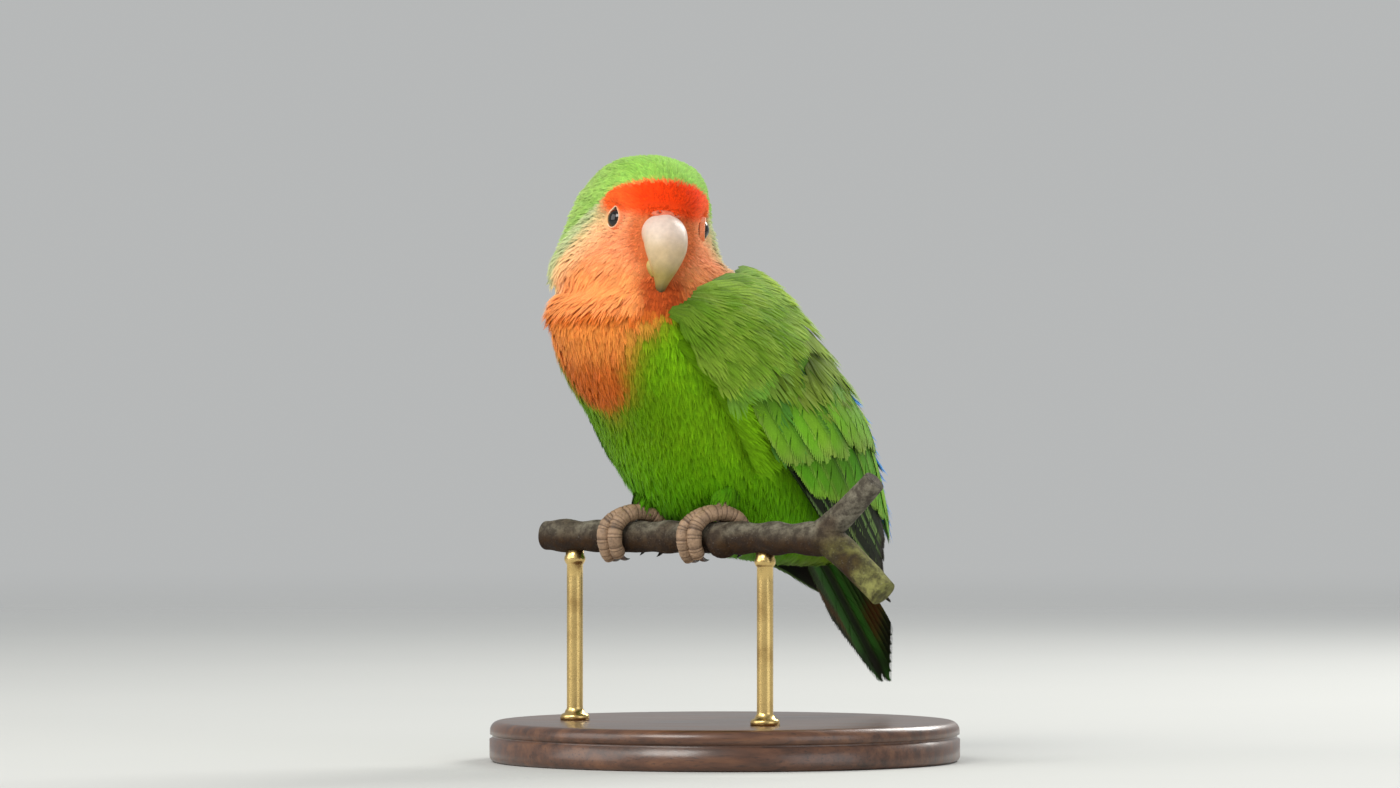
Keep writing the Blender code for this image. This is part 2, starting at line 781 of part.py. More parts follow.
def make_twig(perch):
    """The side twig that rises from the fork."""
    along = perch_frame()[0]
    reach, rise, radius = TWIG_END
    start = along * (PERCH_FORK - TWIG_SINK)
    end = along * reach + Vector((0, 0, rise))
    middle = start.lerp(end, 0.4) - Vector((0, 0, rise * TWIG_SAG))
    radii = [radius + more for more in TWIG_SWELL]
    twig = tube("perch_twig", [start, middle, end], radii, 3)
    return cut(twig, [grown(perch)])


# Stand
def make_base():
    base = rod_between("stand_base", Vector(), Vector((0, 0, BASE_HEIGHT)), BASE_RADIUS, 48)
    bevel = base.modifiers.new("edge", "BEVEL")
    bevel.width = BASE_EDGE * MM
    bevel.segments = 2
    bevel.limit_method = "ANGLE"
    bevel.angle_limit = math.radians(60)
    return base


def make_rod(name, s, perch):
    """A rod from just above the base up to the perch, made in the bird's frame."""
    foot = perch_frame()[0] * s
    bottom = foot + Vector((0, 0, BASE_HEIGHT + GAP - PERCH_HEIGHT))
    rod = rod_between(name, bottom, foot, ROD_RADIUS)
    return cut(rod, [grown(perch)])


# Materials and placing
def finish_of(name):
    for key, (red, green, blue, roughness) in COLOURS.items():
        if name.startswith(key):
            material = bpy.data.materials.new(name)
            material.use_nodes = True
            shader = material.node_tree.nodes["Principled BSDF"]
            shader.inputs["Base Color"].default_value = (red, green, blue, 1)
            shader.inputs["Roughness"].default_value = roughness
            shader.inputs["Metallic"].default_value = 1.0 if name.startswith("stand_rod") else 0.0
            return material
    raise ValueError(name)


def place(pieces, stand):
    """Gives each node its material and collection, and turns the bird to its heading."""
    group = bpy.data.collections.new("peach_faced_lovebird")
    bpy.context.scene.collection.children.link(group)
    bird = bpy.data.objects.new("bird", None)
    group.objects.link(bird)
    bird.location = Vector(BIRD_PLACE) * MM
    bird.rotation_euler = (0, 0, BIRD_HEADING)
    for piece in pieces + stand:
        bpy.context.scene.collection.objects.unlink(piece)
        group.objects.link(piece)
        piece.data.materials.clear()
        piece.data.materials.append(finish_of(piece.name))
        piece.data.shade_smooth()
        piece.data.set_sharp_from_angle(angle=math.radians(40))
    for piece in pieces:
        piece.parent = bird


def main():
    for old in list(bpy.data.objects):
        bpy.data.objects.remove(old)
    body = make_body()
    skull = make_skull()
    upper = bill_part("bill_upper", UPPER_BILL)
    lower = cut(bill_part("bill_lower", LOWER_BILL), [grown(upper)])
    torso, neck = part_body(body, (skull, upper, lower))
    perch = make_perch()
    pieces = [torso, neck, upper, lower, perch, make_twig(perch)]
    tail = cut(make_tail(), [grown(body)], "MANIFOLD")
    pieces.append(tail)
    for word, side in (("left", 1), ("right", -1)):
        wing = make_wing("wing_" + word, side)
        pieces.append(cut(wing, [grown(body), grown(skull), grown(tail)], "MANIFOLD"))
        pieces.append(make_eye("eye_" + word, side))
        leg, routes = make_foot("leg_" + word, *ANKLES[word])
        cut(leg, [grown(body), grown(perch)])
        pieces.append(leg)
        for number, route in enumerate(routes, 1):
            claw = make_claw(f"claw_{word}_{number}", route)
            pieces.append(cut(claw, [grown(leg), grown(perch)]))
    pieces.append(make_head(skull, (upper, lower)))
    pieces += [make_rod(name, s, perch) for name, s in ROD_PLACES.items()]
    bpy.data.objects.remove(body)
    place(pieces, [make_base()])


main()
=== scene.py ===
"""The looks of the peach-faced lovebird: its skin, plumage, bill, eyes and feet, its perch and its stand."""

import math

import bpy
import numpy as np
from mathutils import Matrix, Vector, kdtree
from mathutils.bvhtree import BVHTree


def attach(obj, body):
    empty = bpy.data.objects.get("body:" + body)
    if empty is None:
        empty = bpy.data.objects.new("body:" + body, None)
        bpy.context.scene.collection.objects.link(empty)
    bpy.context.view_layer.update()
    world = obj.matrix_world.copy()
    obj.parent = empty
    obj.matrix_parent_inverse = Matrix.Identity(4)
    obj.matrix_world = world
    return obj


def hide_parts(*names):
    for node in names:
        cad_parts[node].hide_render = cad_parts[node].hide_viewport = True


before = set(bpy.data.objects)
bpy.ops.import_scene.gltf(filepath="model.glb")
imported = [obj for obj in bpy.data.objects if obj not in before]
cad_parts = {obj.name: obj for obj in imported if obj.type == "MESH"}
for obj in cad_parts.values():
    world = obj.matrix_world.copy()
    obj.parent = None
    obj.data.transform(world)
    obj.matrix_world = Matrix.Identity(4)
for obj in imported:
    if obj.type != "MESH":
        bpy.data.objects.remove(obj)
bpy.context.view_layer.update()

# Scale: sizes below are millimetres in the bird's own frame, as the solids have them
MM = 0.001
PERCH_HEIGHT = 55.5
BIRD_PLACE = np.array((-15.7, -11.5, PERCH_HEIGHT))
BIRD_TURN = np.array(Matrix.Rotation(math.radians(225), 3, "Z"))
SEED = 11
SIDES = {"left": 1, "right": -1}

# Body axis, with a along it and b towards the back
LEAN = math.radians(43)
ALONG = np.array((-math.sin(LEAN), 0, -math.cos(LEAN)))
BACKWARD = np.array((-math.cos(LEAN), 0, math.sin(LEAN)))
ASIDE = np.array((0.0, 1.0, 0.0))
UP = np.array((0.0, 0.0, 1.0))
BACK_SQUARENESS = 2.2
BELLY_SQUARENESS = 2.15
# a, b of the ring's middle, and its reach towards the back, the belly and each side
BODY_RINGS = (
    (-62, 27, 2, 2, 2), (-59, 27, 13, 13, 14), (-52, 29, 20, 18.5, 20), (-40, 31.5, 24.5, 23, 25),
    (-27, 33, 27, 25, 26), (-12, 34.5, 27, 29, 26), (3, 35.5, 25.5, 30, 25), (16, 37, 23, 26.5, 22.5),
    (28, 39, 19.5, 19, 18.5), (38, 41.5, 15, 12.5, 13.5), (46, 44.5, 10, 7, 9), (50, 46.5, 2, 2, 2),
)

# Head frame: x ahead, y left, z up, turned and tilted on the neck
HEAD_MATRIX = (
    Matrix.Translation((5.0, 2.4, 77.0))
    @ Matrix.Rotation(math.radians(60), 4, "Z")
    @ Matrix.Rotation(math.radians(4), 4, "Y")
    @ Matrix.Rotation(math.radians(-7), 4, "X")
)
# z, middle x, swing of the loose side, reach ahead and aside, and how much the front narrows
HEAD_RINGS = (
    (-21, -5, 0, 14.5, 15, 0.05), (-18, -5, 0, 20.5, 21, 0.08), (-14, -5, 0, 21.5, 21.8, 0.12),
    (-10, -4.5, -0.4, 20.3, 20.3, 0.16), (-6, -4, -1, 19.3, 18.6, 0.19), (-2, -3.5, -2, 18.8, 17.2, 0.2),
    (2, -3, -2.5, 18, 16, 0.18), (6, -2.5, -2, 17, 15.2, 0.16), (10, -2, -1.5, 15, 13.6, 0.12),
    (13, -2, -1, 12.3, 11.3, 0.08), (15.4, -2, 0, 8, 7.3, 0.05), (16.6, -2, 0, 1.5, 1.5, 0),
)

# Eyes, lids and bill, in the head frame
EYE_RADIUS = 3.1
EYE_PLACE = np.array((5.0, 10.9, 0.4))
EYE_OUTWARD = np.array((0.34, 1.0, 0.1))
# how far each eye's ball is drawn inward and down, and the socket round it
EYE_SUNK = np.array((0.2, -1.2, -0.8))
SOCKET_DEPTH = 1.3
# the opening between the lids, half across and half up, and how wide their ring is
LID_OPENING = (2.2, 2.05)
LID_REACH = 1.0
# x and z of each section's middle, its slope, half height and half width
UPPER_BILL = (
    (9.5, -2.2, 0, 4.6, 4.8), (13.0, -2.2, 5, 4.9, 5.5), (16.2, -3.4, 32, 4.6, 5.5),
    (18.3, -6.2, 62, 3.9, 5.1), (19.2, -9.8, 84, 3.0, 3.7), (18.7, -13.6, 100, 1.8, 1.9),
    (17.8, -16.7, 108, 0.9, 0.9), (16.9, -19.3, 112, 0.2, 0.25),
)
LOWER_BILL = (
    (9.5, -9.2, 0, 3.0, 3.9), (12.5, -9.9, 22, 2.9, 4.0),
    (14.8, -11.2, 45, 2.3, 3.3), (16.0, -12.9, 62, 1.0, 2.2),
)
CERE_PLACE = np.array((13.2, 0, 2.3))
CERE_REACH = np.array((2.3, 5.2, 1.5))
CERE_SHOWN = np.array((0.95, 0.72, 0.85))
NOSTRIL_PLACE = np.array((14.9, 2.3, 3.1))
NOSTRIL_RADIUS = 0.65
# the bill leans a little to the bird's right, from this far ahead
BILL_YAW = 0.05
BILL_ROOT = 3.0

# Wings, folded on a carrier round the body, at w from the back's midline
WING_SQUARENESS = 2.2
# a, b of the ring's middle, and its reach towards the back and each side
WING_RINGS = (
    (-52, 29, 19.5, 21), (-40, 31.5, 25.5, 27), (-27, 33, 29, 29.5), (-12, 34, 29.5, 30),
    (3, 34.6, 28.5, 29.5), (17, 36.5, 25.5, 26.5), (30, 38.5, 20.5, 21.5), (45, 40, 15, 15),
    (55, 40.5, 9.5, 10.5), (64, 40.5, 6, 7.5), (72, 40.5, 4, 5.5),
)
# a, w of the wing's upper and lower edges
WING_EDGES = (
    (-50, 20, 36), (-44, 12, 44.5), (-36, 8, 51.5), (-20, 6, 57.5), (0, 6, 59), (18, 6, 53), (33, 6, 42),
    (43, 5.5, 33), (52, 5, 23.5), (62, 4.5, 12),
)

# Tail: a and b of its root and tip, and its vanes
TAIL_ROOT = (34.0, 38.5)
TAIL_TIP = (82.0, 33.5)
TAIL_VANE_WIDTH = 6.8
TAIL_STEP = 0.42
TAIL_GRADE = 0.055
# how green each pair's vanes are, from the middle pair outward
TAIL_GREEN = (0.6, 0.3, 0.14, 0.08, 0.06, 0.1)

# Feet and perch
PERCH_RADIUS = 4.0
PERCH_TURN = math.radians(100)
PERCH_ALONG = np.array((math.cos(PERCH_TURN), math.sin(PERCH_TURN), 0))
PERCH_AHEAD = np.array((PERCH_ALONG[1], -PERCH_ALONG[0], 0))
TOE_RADIUS = 2.0
TOE_REACH = PERCH_RADIUS + 0.3 + TOE_RADIUS - 0.2
# how many degrees round the perch each toe goes, how far along it the toe drifts, and by how many degrees
TOES = ((150, -6.4), (140, -3.2), (-112, 3.4), (-106, -2.0))
TOE_DRIFTED = 80.0
# each ankle's place along the perch, and the shank's top: ahead and to the left of the ankle, and its height
ANKLES = {"left": (17.5, (-9.0, -4.5, 15.0)), "right": (-6.3, (-8.0, -3.0, 14.0))}
CLAW_LENGTH = 5.1
CLAW_RADIUS = 0.95
CLAW_BEND = math.radians(52)
SHANK_RADIUS = 2.1
PERCH_START = -34.6
PERCH_FORK = 49.0
# how far along the perch its end and the twig's are, how high, and their radius
PERCH_END = (65.5, -13.0, 3.6)
TWIG_END = (63.0, 14.0, 2.9)
PERCH_SWELL = 0.3
PERCH_WAVE = 0.6
PERCH_FREE = 12.0
PERCH_GRIPS = (12.7, -11.1)
# the fork's knot and a lump beside the left foot: along the perch, ahead and up, and how far they reach
KNOT_PLACE = (47.0, 0.0, 0.0)
KNOT_REACH = (4.9, 4.9, 4.6)
LUMP_PLACE = (19.5, 1.3, -0.8)
LUMP_REACH = (4.5, 4.5, 4.5)

# Stand, with radius and height of the turned foot and head of each rod
BASE_RADIUS = 58.0
BASE_HEIGHT = 10.0
ROD_RADIUS = 2.0
ROD_PLACES = {"stand_rod_right": -26.0, "stand_rod_left": 31.0}
ROD_FOOT = ((3.6, 0.0), (3.6, 1.0), (3.2, 1.5), (2.6, 1.7), (2.3, 2.4), (ROD_RADIUS, 2.8))
ROD_HEAD = ((2.3, -2.6), (2.6, -2.0), (2.6, -1.2), (2.3, -0.6), (2.2, 0.6))


# Numbers and curves
def linear(red, green, blue):
    """A colour as a screen shows it, 0 to 255, in the linear values that shaders take."""
    shown = np.array((red, green, blue)) / 255
    return np.where(shown > 0.04045, ((shown + 0.055) / 1.055) ** 2.4, shown / 12.92)


def smooth(low, high, value):
    share = np.clip((value - low) / (high - low), 0, 1)
    return share * share * (3 - 2 * share)


def mixed(one, two, share):
    """Between two values, with share over the rows of colours or points."""
    share = np.asarray(share)[..., None]
    return np.asarray(one) * (1 - share) + np.asarray(two) * share


def layered(colour, *layers):
    """A colour with others over it, each by its own share."""
    for other, share in layers:
        colour = mixed(colour, other, share)
    return colour


def unit(vectors):
    return vectors / np.maximum(np.linalg.norm(vectors, axis=-1, keepdims=True), 1e-9)


def dot(one, two):
    return (one * two).sum(-1)


def around(sides):
    return np.linspace(0, 2 * math.pi, sides, endpoint=False)


def grid_values(first, last, step):
    return np.linspace(first, last, max(2, round(abs(last - first) / step) + 1))


def through(rows):
    """A function that reads smooth values between rows whose first value is the place."""
    table = np.array(rows, float)
    places, values = table[:, 0], table[:, 1:]
    order = np.arange(len(rows))
    below, above = np.maximum(order - 1, 0), np.minimum(order + 1, len(rows) - 1)
    slopes = (values[above] - values[below]) / (places[above] - places[below])[:, None]

    def read(place):
        place = np.clip(np.asarray(place, float), places[0], places[-1])
        i = np.clip(np.searchsorted(places, place, "right") - 1, 0, len(places) - 2)
        span = (places[i + 1] - places[i])[..., None]
        t = (place - places[i])[..., None] / span
        found = (2 * t**3 - 3 * t**2 + 1) * values[i] + (3 * t**2 - 2 * t**3) * values[i + 1]
        found = found + (t**3 - 2 * t**2 + t) * slopes[i] * span + (t**3 - t**2) * slopes[i + 1] * span
        return np.moveaxis(found, -1, 0)

    return read


def squared(turn, squareness):
    return (np.abs(np.cos(turn)) ** squareness + np.abs(np.sin(turn)) ** squareness) ** (-1 / squareness)


def uneven(points, scale, seed, octaves=3):
    """Smooth noise from sums of turned waves, the same each run."""
    draw = np.random.default_rng(seed)
    waves = 5
    total = np.zeros(points.shape[:-1])
    for octave in range(octaves):
        for _ in range(waves):
            wave = unit(draw.normal(size=3)) * 2 * math.pi / scale * 2**octave
            total += np.sin(points @ wave + draw.uniform(0, 2 * math.pi)) / 2**octave
    return total / (waves * 1.6)


body_rows = through(BODY_RINGS)
head_rows = through(HEAD_RINGS)
wing_rows = through(WING_RINGS)
wing_edges = through(WING_EDGES)


# Places
def from_head(points, matrix=np.array(HEAD_MATRIX)):
    return np.asarray(points) @ matrix[:3, :3].T + matrix[:3, 3]


def into_head(points):
    return from_head(points, np.array(HEAD_MATRIX.inverted()))


def on_axis(a, b, aside=0.0):
    a, b, aside = np.broadcast_arrays(a, b, aside)
    return a[..., None] * ALONG + b[..., None] * BACKWARD + aside[..., None] * ASIDE


def on_perch(s, ahead=0.0, high=0.0):
    """Places from how far along the perch, ahead of its middle line and over it."""
    s, ahead, high = np.broadcast_arrays(s, ahead, high)
    return PERCH_ALONG * s[..., None] + PERCH_AHEAD * ahead[..., None] + UP * high[..., None]


def body_surface(a, turn):
    middle, back, belly, side = body_rows(a)
    to_back = np.cos(turn) > 0
    reach = squared(turn, np.where(to_back, BACK_SQUARENESS, BELLY_SQUARENESS))
    deep = np.where(to_back, back, belly)
    return on_axis(a, middle + reach * np.cos(turn) * deep, reach * np.sin(turn) * side)


def head_surface(z, turn):
    middle, loose, ahead, aside, narrowing = head_rows(z)
    x = middle + ahead * np.cos(turn)
    y = aside * np.sin(turn) * (1 - narrowing * np.cos(turn)) + loose * (1 - np.cos(turn)) / 2
    return from_head(np.stack(np.broadcast_arrays(x, y, z), -1))


def wing_at(side, a, w, lift):
    """A place on the wings' carrier, w round it from the back's midline."""
    middle, back, aside = wing_rows(a)
    turn = 2 * w / (back + aside)
    reach = squared(turn, WING_SQUARENESS)
    deep = np.where(np.cos(turn) > 0, back, aside) + lift
    return on_axis(a, middle + reach * np.cos(turn) * deep, side * reach * np.sin(turn) * (aside + lift))


def wing_point(side, a, share, lift, shift=0.0):
    upper, lower = wing_edges(a)
    return wing_at(side, a, upper + (lower - upper) * share + shift, lift)


def body_coordinates(points):
    """a, how far behind the trunk's middle, and the turn round it from the back's midline."""
    a = points @ ALONG
    behind = points @ BACKWARD - body_rows(a)[0]
    return a, behind, np.arctan2(points[..., 1], behind)


def leaned(points):
    """Places in the head's frame, leaned to the bird's right the more they are ahead."""
    points = np.array(points, float)
    points[..., 1] -= BILL_YAW * (points[..., 0] - BILL_ROOT)
    return points


def eye_line(side):
    """The middle of an eye and the way it looks, in the head's frame."""
    mirror = np.array((1, side, 1))
    return (EYE_PLACE + EYE_SUNK) * mirror, unit(EYE_OUTWARD) * mirror


def from_eye(place, side):
    """Distance from an eye's line of sight, and along it."""
    middle, aim = eye_line(side)
    gap = place - middle
    along = dot(gap, aim)
    return np.linalg.norm(gap - aim * along[..., None], axis=-1), along


def depth_in_head(points):
    """About how far inside the head's form each point is."""
    x, y, z = np.moveaxis(into_head(points), -1, 0)
    middle, _, ahead, aside, _ = head_rows(z)
    over = np.maximum(z - HEAD_RINGS[-1][0], HEAD_RINGS[0][0] - z)
    return np.minimum((1 - np.hypot((x - middle) / ahead, y / aside)) * ahead, -over)


def depth_in_body(points):
    a, behind, _ = body_coordinates(points)
    _, back, belly, side = body_rows(a)
    deep = np.where(behind > 0, back, belly)
    over = np.maximum(a - BODY_RINGS[-1][0], BODY_RINGS[0][0] - a)
    return np.minimum((1 - np.hypot(behind / deep, points[..., 1] / side)) * deep, -over)


def head_share(points):
    """1 on the head's surface and 0 on the body's, with a narrow blend in the crease."""
    return smooth(-1.2, 1.2, depth_in_head(points) - depth_in_body(points))


def head_zone(points):
    """1 where the head's own feathers lie: on the head and on the neck under it, down to the crease."""
    return np.maximum(head_share(points), smooth(54.0, 56.4, points[..., 2]))


# Meshes
def linked(name, data):
    made = bpy.data.objects.new(name, data)
    bpy.context.scene.collection.objects.link(made)
    return made


def piece(name, points, faces, look, slot, colours=None, patches=None, replaces=(), normals=None):
    """An object from points in the bird's frame and rows of corners, with its colours and bake patches."""
    points = (np.reshape(points, (-1, 3)) @ BIRD_TURN.T + BIRD_PLACE) * MM
    faces = np.asarray(faces, np.int32)
    mesh = bpy.data.meshes.new(name)
    mesh.vertices.add(len(points))
    mesh.vertices.foreach_set("co", points.astype(np.float32).ravel())
    mesh.loops.add(faces.size)
    mesh.loops.foreach_set("vertex_index", faces.ravel())
    mesh.polygons.add(len(faces))
    mesh.polygons.foreach_set("loop_start", np.arange(0, faces.size, faces.shape[1], dtype=np.int32))
    mesh.update(calc_edges=True)
    if colours is not None:
        rgba = np.ones((len(points), 4), np.float32)
        rgba[:, :3] = np.clip(np.reshape(colours, (-1, 3)), 0, 1)
        mesh.color_attributes.new("plumage", "FLOAT_COLOR", "POINT").data.foreach_set("color", rgba.ravel())
    if patches is not None:
        corners = np.clip(np.reshape(patches, (-1, 2)), 0.001, 0.999)[faces.ravel()]
        mesh.uv_layers.new(name="OFBake").uv.foreach_set("vector", corners.astype(np.float32).ravel())
    mesh.polygons.foreach_set("use_smooth", np.ones(len(faces), bool))
    if normals is not None:
        mesh.normals_split_custom_set_from_vertices((normals.reshape(-1, 3) @ BIRD_TURN.T).tolist())
    mesh.materials.append(LOOKS[look])
    made = linked(name, mesh)
    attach(made, "root")
    if replaces:
        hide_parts(*replaces)


def ring_faces(rings, sides):
    """Quads between rings of points, closed round, as pairs of triangles."""
    row, column = np.meshgrid(np.arange(rings - 1), np.arange(sides), indexing="ij")
    onward = (column + 1) % sides
    one, two = row * sides + column, row * sides + onward
    three, four = two + sides, one + sides
    halves = [np.stack([one, two, three], -1), np.stack([one, three, four], -1)]
    return np.concatenate(halves).reshape(-1, 3)


def closed(rings):
    """A closed skin through rings of points, each end drawn to its middle, with its faces pointing out."""
    rings = np.asarray(rings, float)
    count, sides = rings.shape[:2]
    points = np.concatenate([rings.reshape(-1, 3), rings[[0, -1]].mean(1)])
    here = np.arange(sides)
    onward = (here + 1) % sides
    last = (count - 1) * sides
    start = np.stack([onward, here, np.full(sides, count * sides)], -1)
    end = np.stack([last + here, last + onward, np.full(sides, count * sides + 1)], -1)
    faces = np.concatenate([ring_faces(count, sides), start, end])
    corners = points[faces]
    volume = dot(corners[:, 0], np.cross(corners[:, 1], corners[:, 2])).sum()
    return points, faces if volume > 0 else faces[:, ::-1]


def together(*parts):
    """Several (points, faces) as one."""
    starts = np.cumsum([0] + [len(points) for points, _ in parts])
    faces = [faces + start for (_, faces), start in zip(parts, starts)]
    return np.concatenate([points for points, _ in parts]), np.concatenate(faces)


def ball_rings(middle, reach, sides=48, rings=32):
    """Rings of an ellipsoid, drawn round its y axis."""
    turns = around(sides)
    fall = np.linspace(0, math.pi, rings)[1:-1, None]
    ball = [np.cos(turns) * np.sin(fall), np.cos(fall) + 0 * turns, np.sin(turns) * np.sin(fall)]
    return np.array(middle) + np.stack(ball, -1) * np.array(reach)


def swept(centres, radii, flat=1.0, sides=24, relief=None):
    """Rings round a route, with its radius at each place, in frames that turn with it."""
    ahead = unit(np.gradient(centres, axis=0))
    across = unit(np.cross(ahead[0], PERCH_ALONG + 0.01))
    turns = around(sides)
    radii = np.reshape(radii, (-1, 1)) * (1 + (np.zeros(sides) if relief is None else relief))
    rings = []
    for centre, onward, radius in zip(centres, ahead, radii):
        across = unit(across - onward * dot(across, onward))
        third = np.cross(onward, across)
        ring = across * (np.cos(turns) * flat)[:, None] + third * np.sin(turns)[:, None]
        rings.append(centre + ring * radius[:, None])
    return np.array(rings)


def strip(first, rows, columns=2):
    """Pairs of triangles over a grid of corners that starts at first."""
    faces = []
    for one in (first + i * columns + j for i in range(rows - 1) for j in range(columns - 1)):
        faces += [(one, one + 1, one + columns + 1), (one, one + columns + 1, one + columns)]
    return faces


# Materials
class Finish:
    """A material with its nodes: add() makes a node, and set() links or fills the shader's sockets."""

    def __init__(self, name, **sockets):
        self.material = bpy.data.materials.new(name)
        self.material.use_nodes = True
        self.tree = self.material.node_tree
        self.set(**sockets)

    def set(self, **sockets):
        for name, value in sockets.items():
            self.put(self.tree.nodes["Principled BSDF"].inputs[name.replace("_", " ")], value)
        return self.material

    def put(self, socket, value):
        if isinstance(value, bpy.types.NodeSocket):
            self.tree.links.new(value, socket)
        else:
            socket.default_value = (*value, 1) if socket.type == "RGBA" else value

    def add(self, kind, output, inputs, **settings):
        node = self.tree.nodes.new("ShaderNode" + kind)
        for name, value in settings.items():
            setattr(node, name, value)
        for name, value in inputs.items():
            self.put(node.inputs[name], value)
        return node.outputs[output]

    def place(self):
        return self.add("TexCoord", "Object", {})

    def noise(self, scale, detail=4.0, rough=0.6, stretch=None):
        """Noise whose features are about 1/scale metres."""
        place = self.place()
        if stretch:
            place = self.add("Mapping", 0, {"Vector": place, "Scale": stretch})
        inputs = {"Vector": place, "Scale": scale, "Detail": detail, "Roughness": rough}
        return self.add("TexNoise", "Fac", inputs)

    def cells(self, scale):
        return self.add("TexVoronoi", "Distance", {"Vector": self.place(), "Scale": scale})

    def span(self, value, start, end, low=0.3, high=0.7):
        inputs = {"Value": value, "From Min": low, "From Max": high, "To Min": start, "To Max": end}
        return self.add("MapRange", "Result", inputs)

    def blend(self, one, two, share):
        return self.add("Mix", 2, {"Factor": share, 6: one, 7: two}, data_type="RGBA")

    def painted(self, light=1.0):
        """The piece's own colours, lighter or darker."""
        colour = self.add("Attribute", "Color", {}, attribute_name="plumage")
        return self.add("VectorMath", "Vector", {0: colour, "Scale": light}, operation="SCALE")

    def bump(self, height, strength, distance, **more):
        inputs = {"Height": height, "Strength": strength, "Distance": distance}
        return self.add("Bump", "Normal", inputs | more)


def plumage_finish(name, roughness, sheen):
    """Feathers: their own colours, with a fine uneven grain."""
    finish = Finish(name, Sheen_Weight=sheen, Sheen_Roughness=0.5, Specular_IOR_Level=0.1)
    fine = finish.noise(2600.0, 3.0)
    drift = finish.span(finish.noise(160.0, 2.0), 0.92, 1.08)
    light = finish.add("Math", 0, {0: finish.span(fine, 0.88, 1.12), 1: drift}, operation="MULTIPLY")
    finish.set(Base_Color=finish.painted(light), Normal=finish.bump(fine, 0.25, 0.0002))
    return finish.set(Roughness=finish.span(fine, roughness - 0.08, roughness + 0.08))


def horn_finish(name, roughness):
    finish = Finish(name, Coat_Weight=0.08, Coat_Roughness=0.3, Specular_IOR_Level=0.35)
    finish.set(Subsurface_Weight=0.12, Subsurface_Radius=(0.002, 0.0014, 0.001))
    grain = finish.noise(700.0, 5.0)
    light = finish.span(grain, 0.9, 1.1)
    finish.set(Base_Color=finish.painted(light), Normal=finish.bump(grain, 0.12, 0.0002))
    return finish.set(Roughness=finish.span(grain, roughness - 0.08, roughness + 0.1))


def skin_finish(name, roughness, scale):
    finish = Finish(name, Specular_IOR_Level=0.4)
    cells = finish.cells(scale)
    grain = finish.noise(scale * 1.6)
    finish.set(Base_Color=finish.painted(finish.span(cells, 0.78, 1.1, 0.0, 0.5)))
    finish.set(Normal=finish.bump(cells, 0.4, 0.00025, Normal=finish.bump(grain, 0.2, 0.0001)))
    return finish.set(Roughness=finish.span(grain, roughness - 0.1, roughness + 0.1))


def eye_finish():
    finish = Finish("eye", Coat_Weight=0.5, Coat_Roughness=0.02, Roughness=0.1, Specular_IOR_Level=0.25)
    return finish.set(Base_Color=finish.painted(finish.span(finish.noise(1500.0, 3.0), 0.75, 1.25)))


def bark_finish():
    finish = Finish("bark", Specular_IOR_Level=0.25)
    coarse = finish.noise(420.0, 8.0, 0.7)
    fine = finish.noise(1900.0, 6.0, 0.7)
    # Darker in the relief's low furrows: partly the bark's own darker furrows, partly painted shade.
    shade = finish.blend(finish.painted(), linear(40, 30, 24), finish.span(coarse, 0.75, 0.0, 0.42, 0.62))
    shade = finish.blend(shade, linear(176, 170, 160), finish.span(fine, 0.0, 0.5, 0.6, 0.78))
    shade = finish.blend(shade, linear(60, 48, 38), finish.span(finish.cells(620.0), 0.0, 0.6, 0.12, 0.02))
    height = finish.add("Math", 0, {0: coarse, 1: fine}, operation="ADD")
    finish.set(Base_Color=shade, Normal=finish.bump(height, 0.8, 0.0006))
    return finish.set(Roughness=finish.span(coarse, 0.75, 0.95))


def wood_finish():
    finish = Finish("dark_wood", Coat_Weight=0.35, Coat_Roughness=0.18)
    grain = finish.noise(46.0, 6.0, stretch=(1.0, 9.0, 6.0))
    pores = finish.noise(300.0, 3.0, 0.5, stretch=(0.6, 9.0, 6.0))
    shade = finish.blend(linear(52, 32, 22), linear(84, 52, 34), finish.span(grain, 0.0, 1.0, 0.3, 0.5))
    shade = finish.blend(shade, linear(110, 72, 46), finish.span(grain, 0.0, 1.0, 0.5, 0.7))
    shade = finish.blend(shade, linear(30, 18, 12), finish.span(pores, 0.0, 0.6, 0.58, 0.7))
    finish.set(Base_Color=shade, Normal=finish.bump(pores, 0.15, 0.0002))
    return finish.set(Roughness=finish.span(grain, 0.3, 0.42))


def brass_finish():
    finish = Finish("brass", Metallic=1.0)
    brushed = finish.noise(900.0, stretch=(1.0, 1.0, 14.0))
    tarnish = finish.span(finish.noise(120.0), 0.0, 0.6, 0.45, 0.7)
    finish.set(Base_Color=finish.blend(linear(214, 184, 120), linear(150, 116, 66), tarnish))
    return finish.set(Roughness=finish.span(brushed, 0.2, 0.36), Normal=finish.bump(brushed, 0.08, 0.0001))


LOOKS = {
    "head": plumage_finish("head_plumage", 0.8, 0.05),
    "body": plumage_finish("body_plumage", 0.75, 0.04),
    "vane": plumage_finish("vane_plumage", 0.6, 0.03),
    "bill": horn_finish("bill", 0.42),
    "claw": horn_finish("claw", 0.3),
    "eye": eye_finish(),
    "lid": skin_finish("lid", 0.5, 2600.0),
    "foot": skin_finish("foot", 0.55, 1500.0),
    "bark": bark_finish(),
    "wood": wood_finish(),
    "brass": brass_finish(),
}

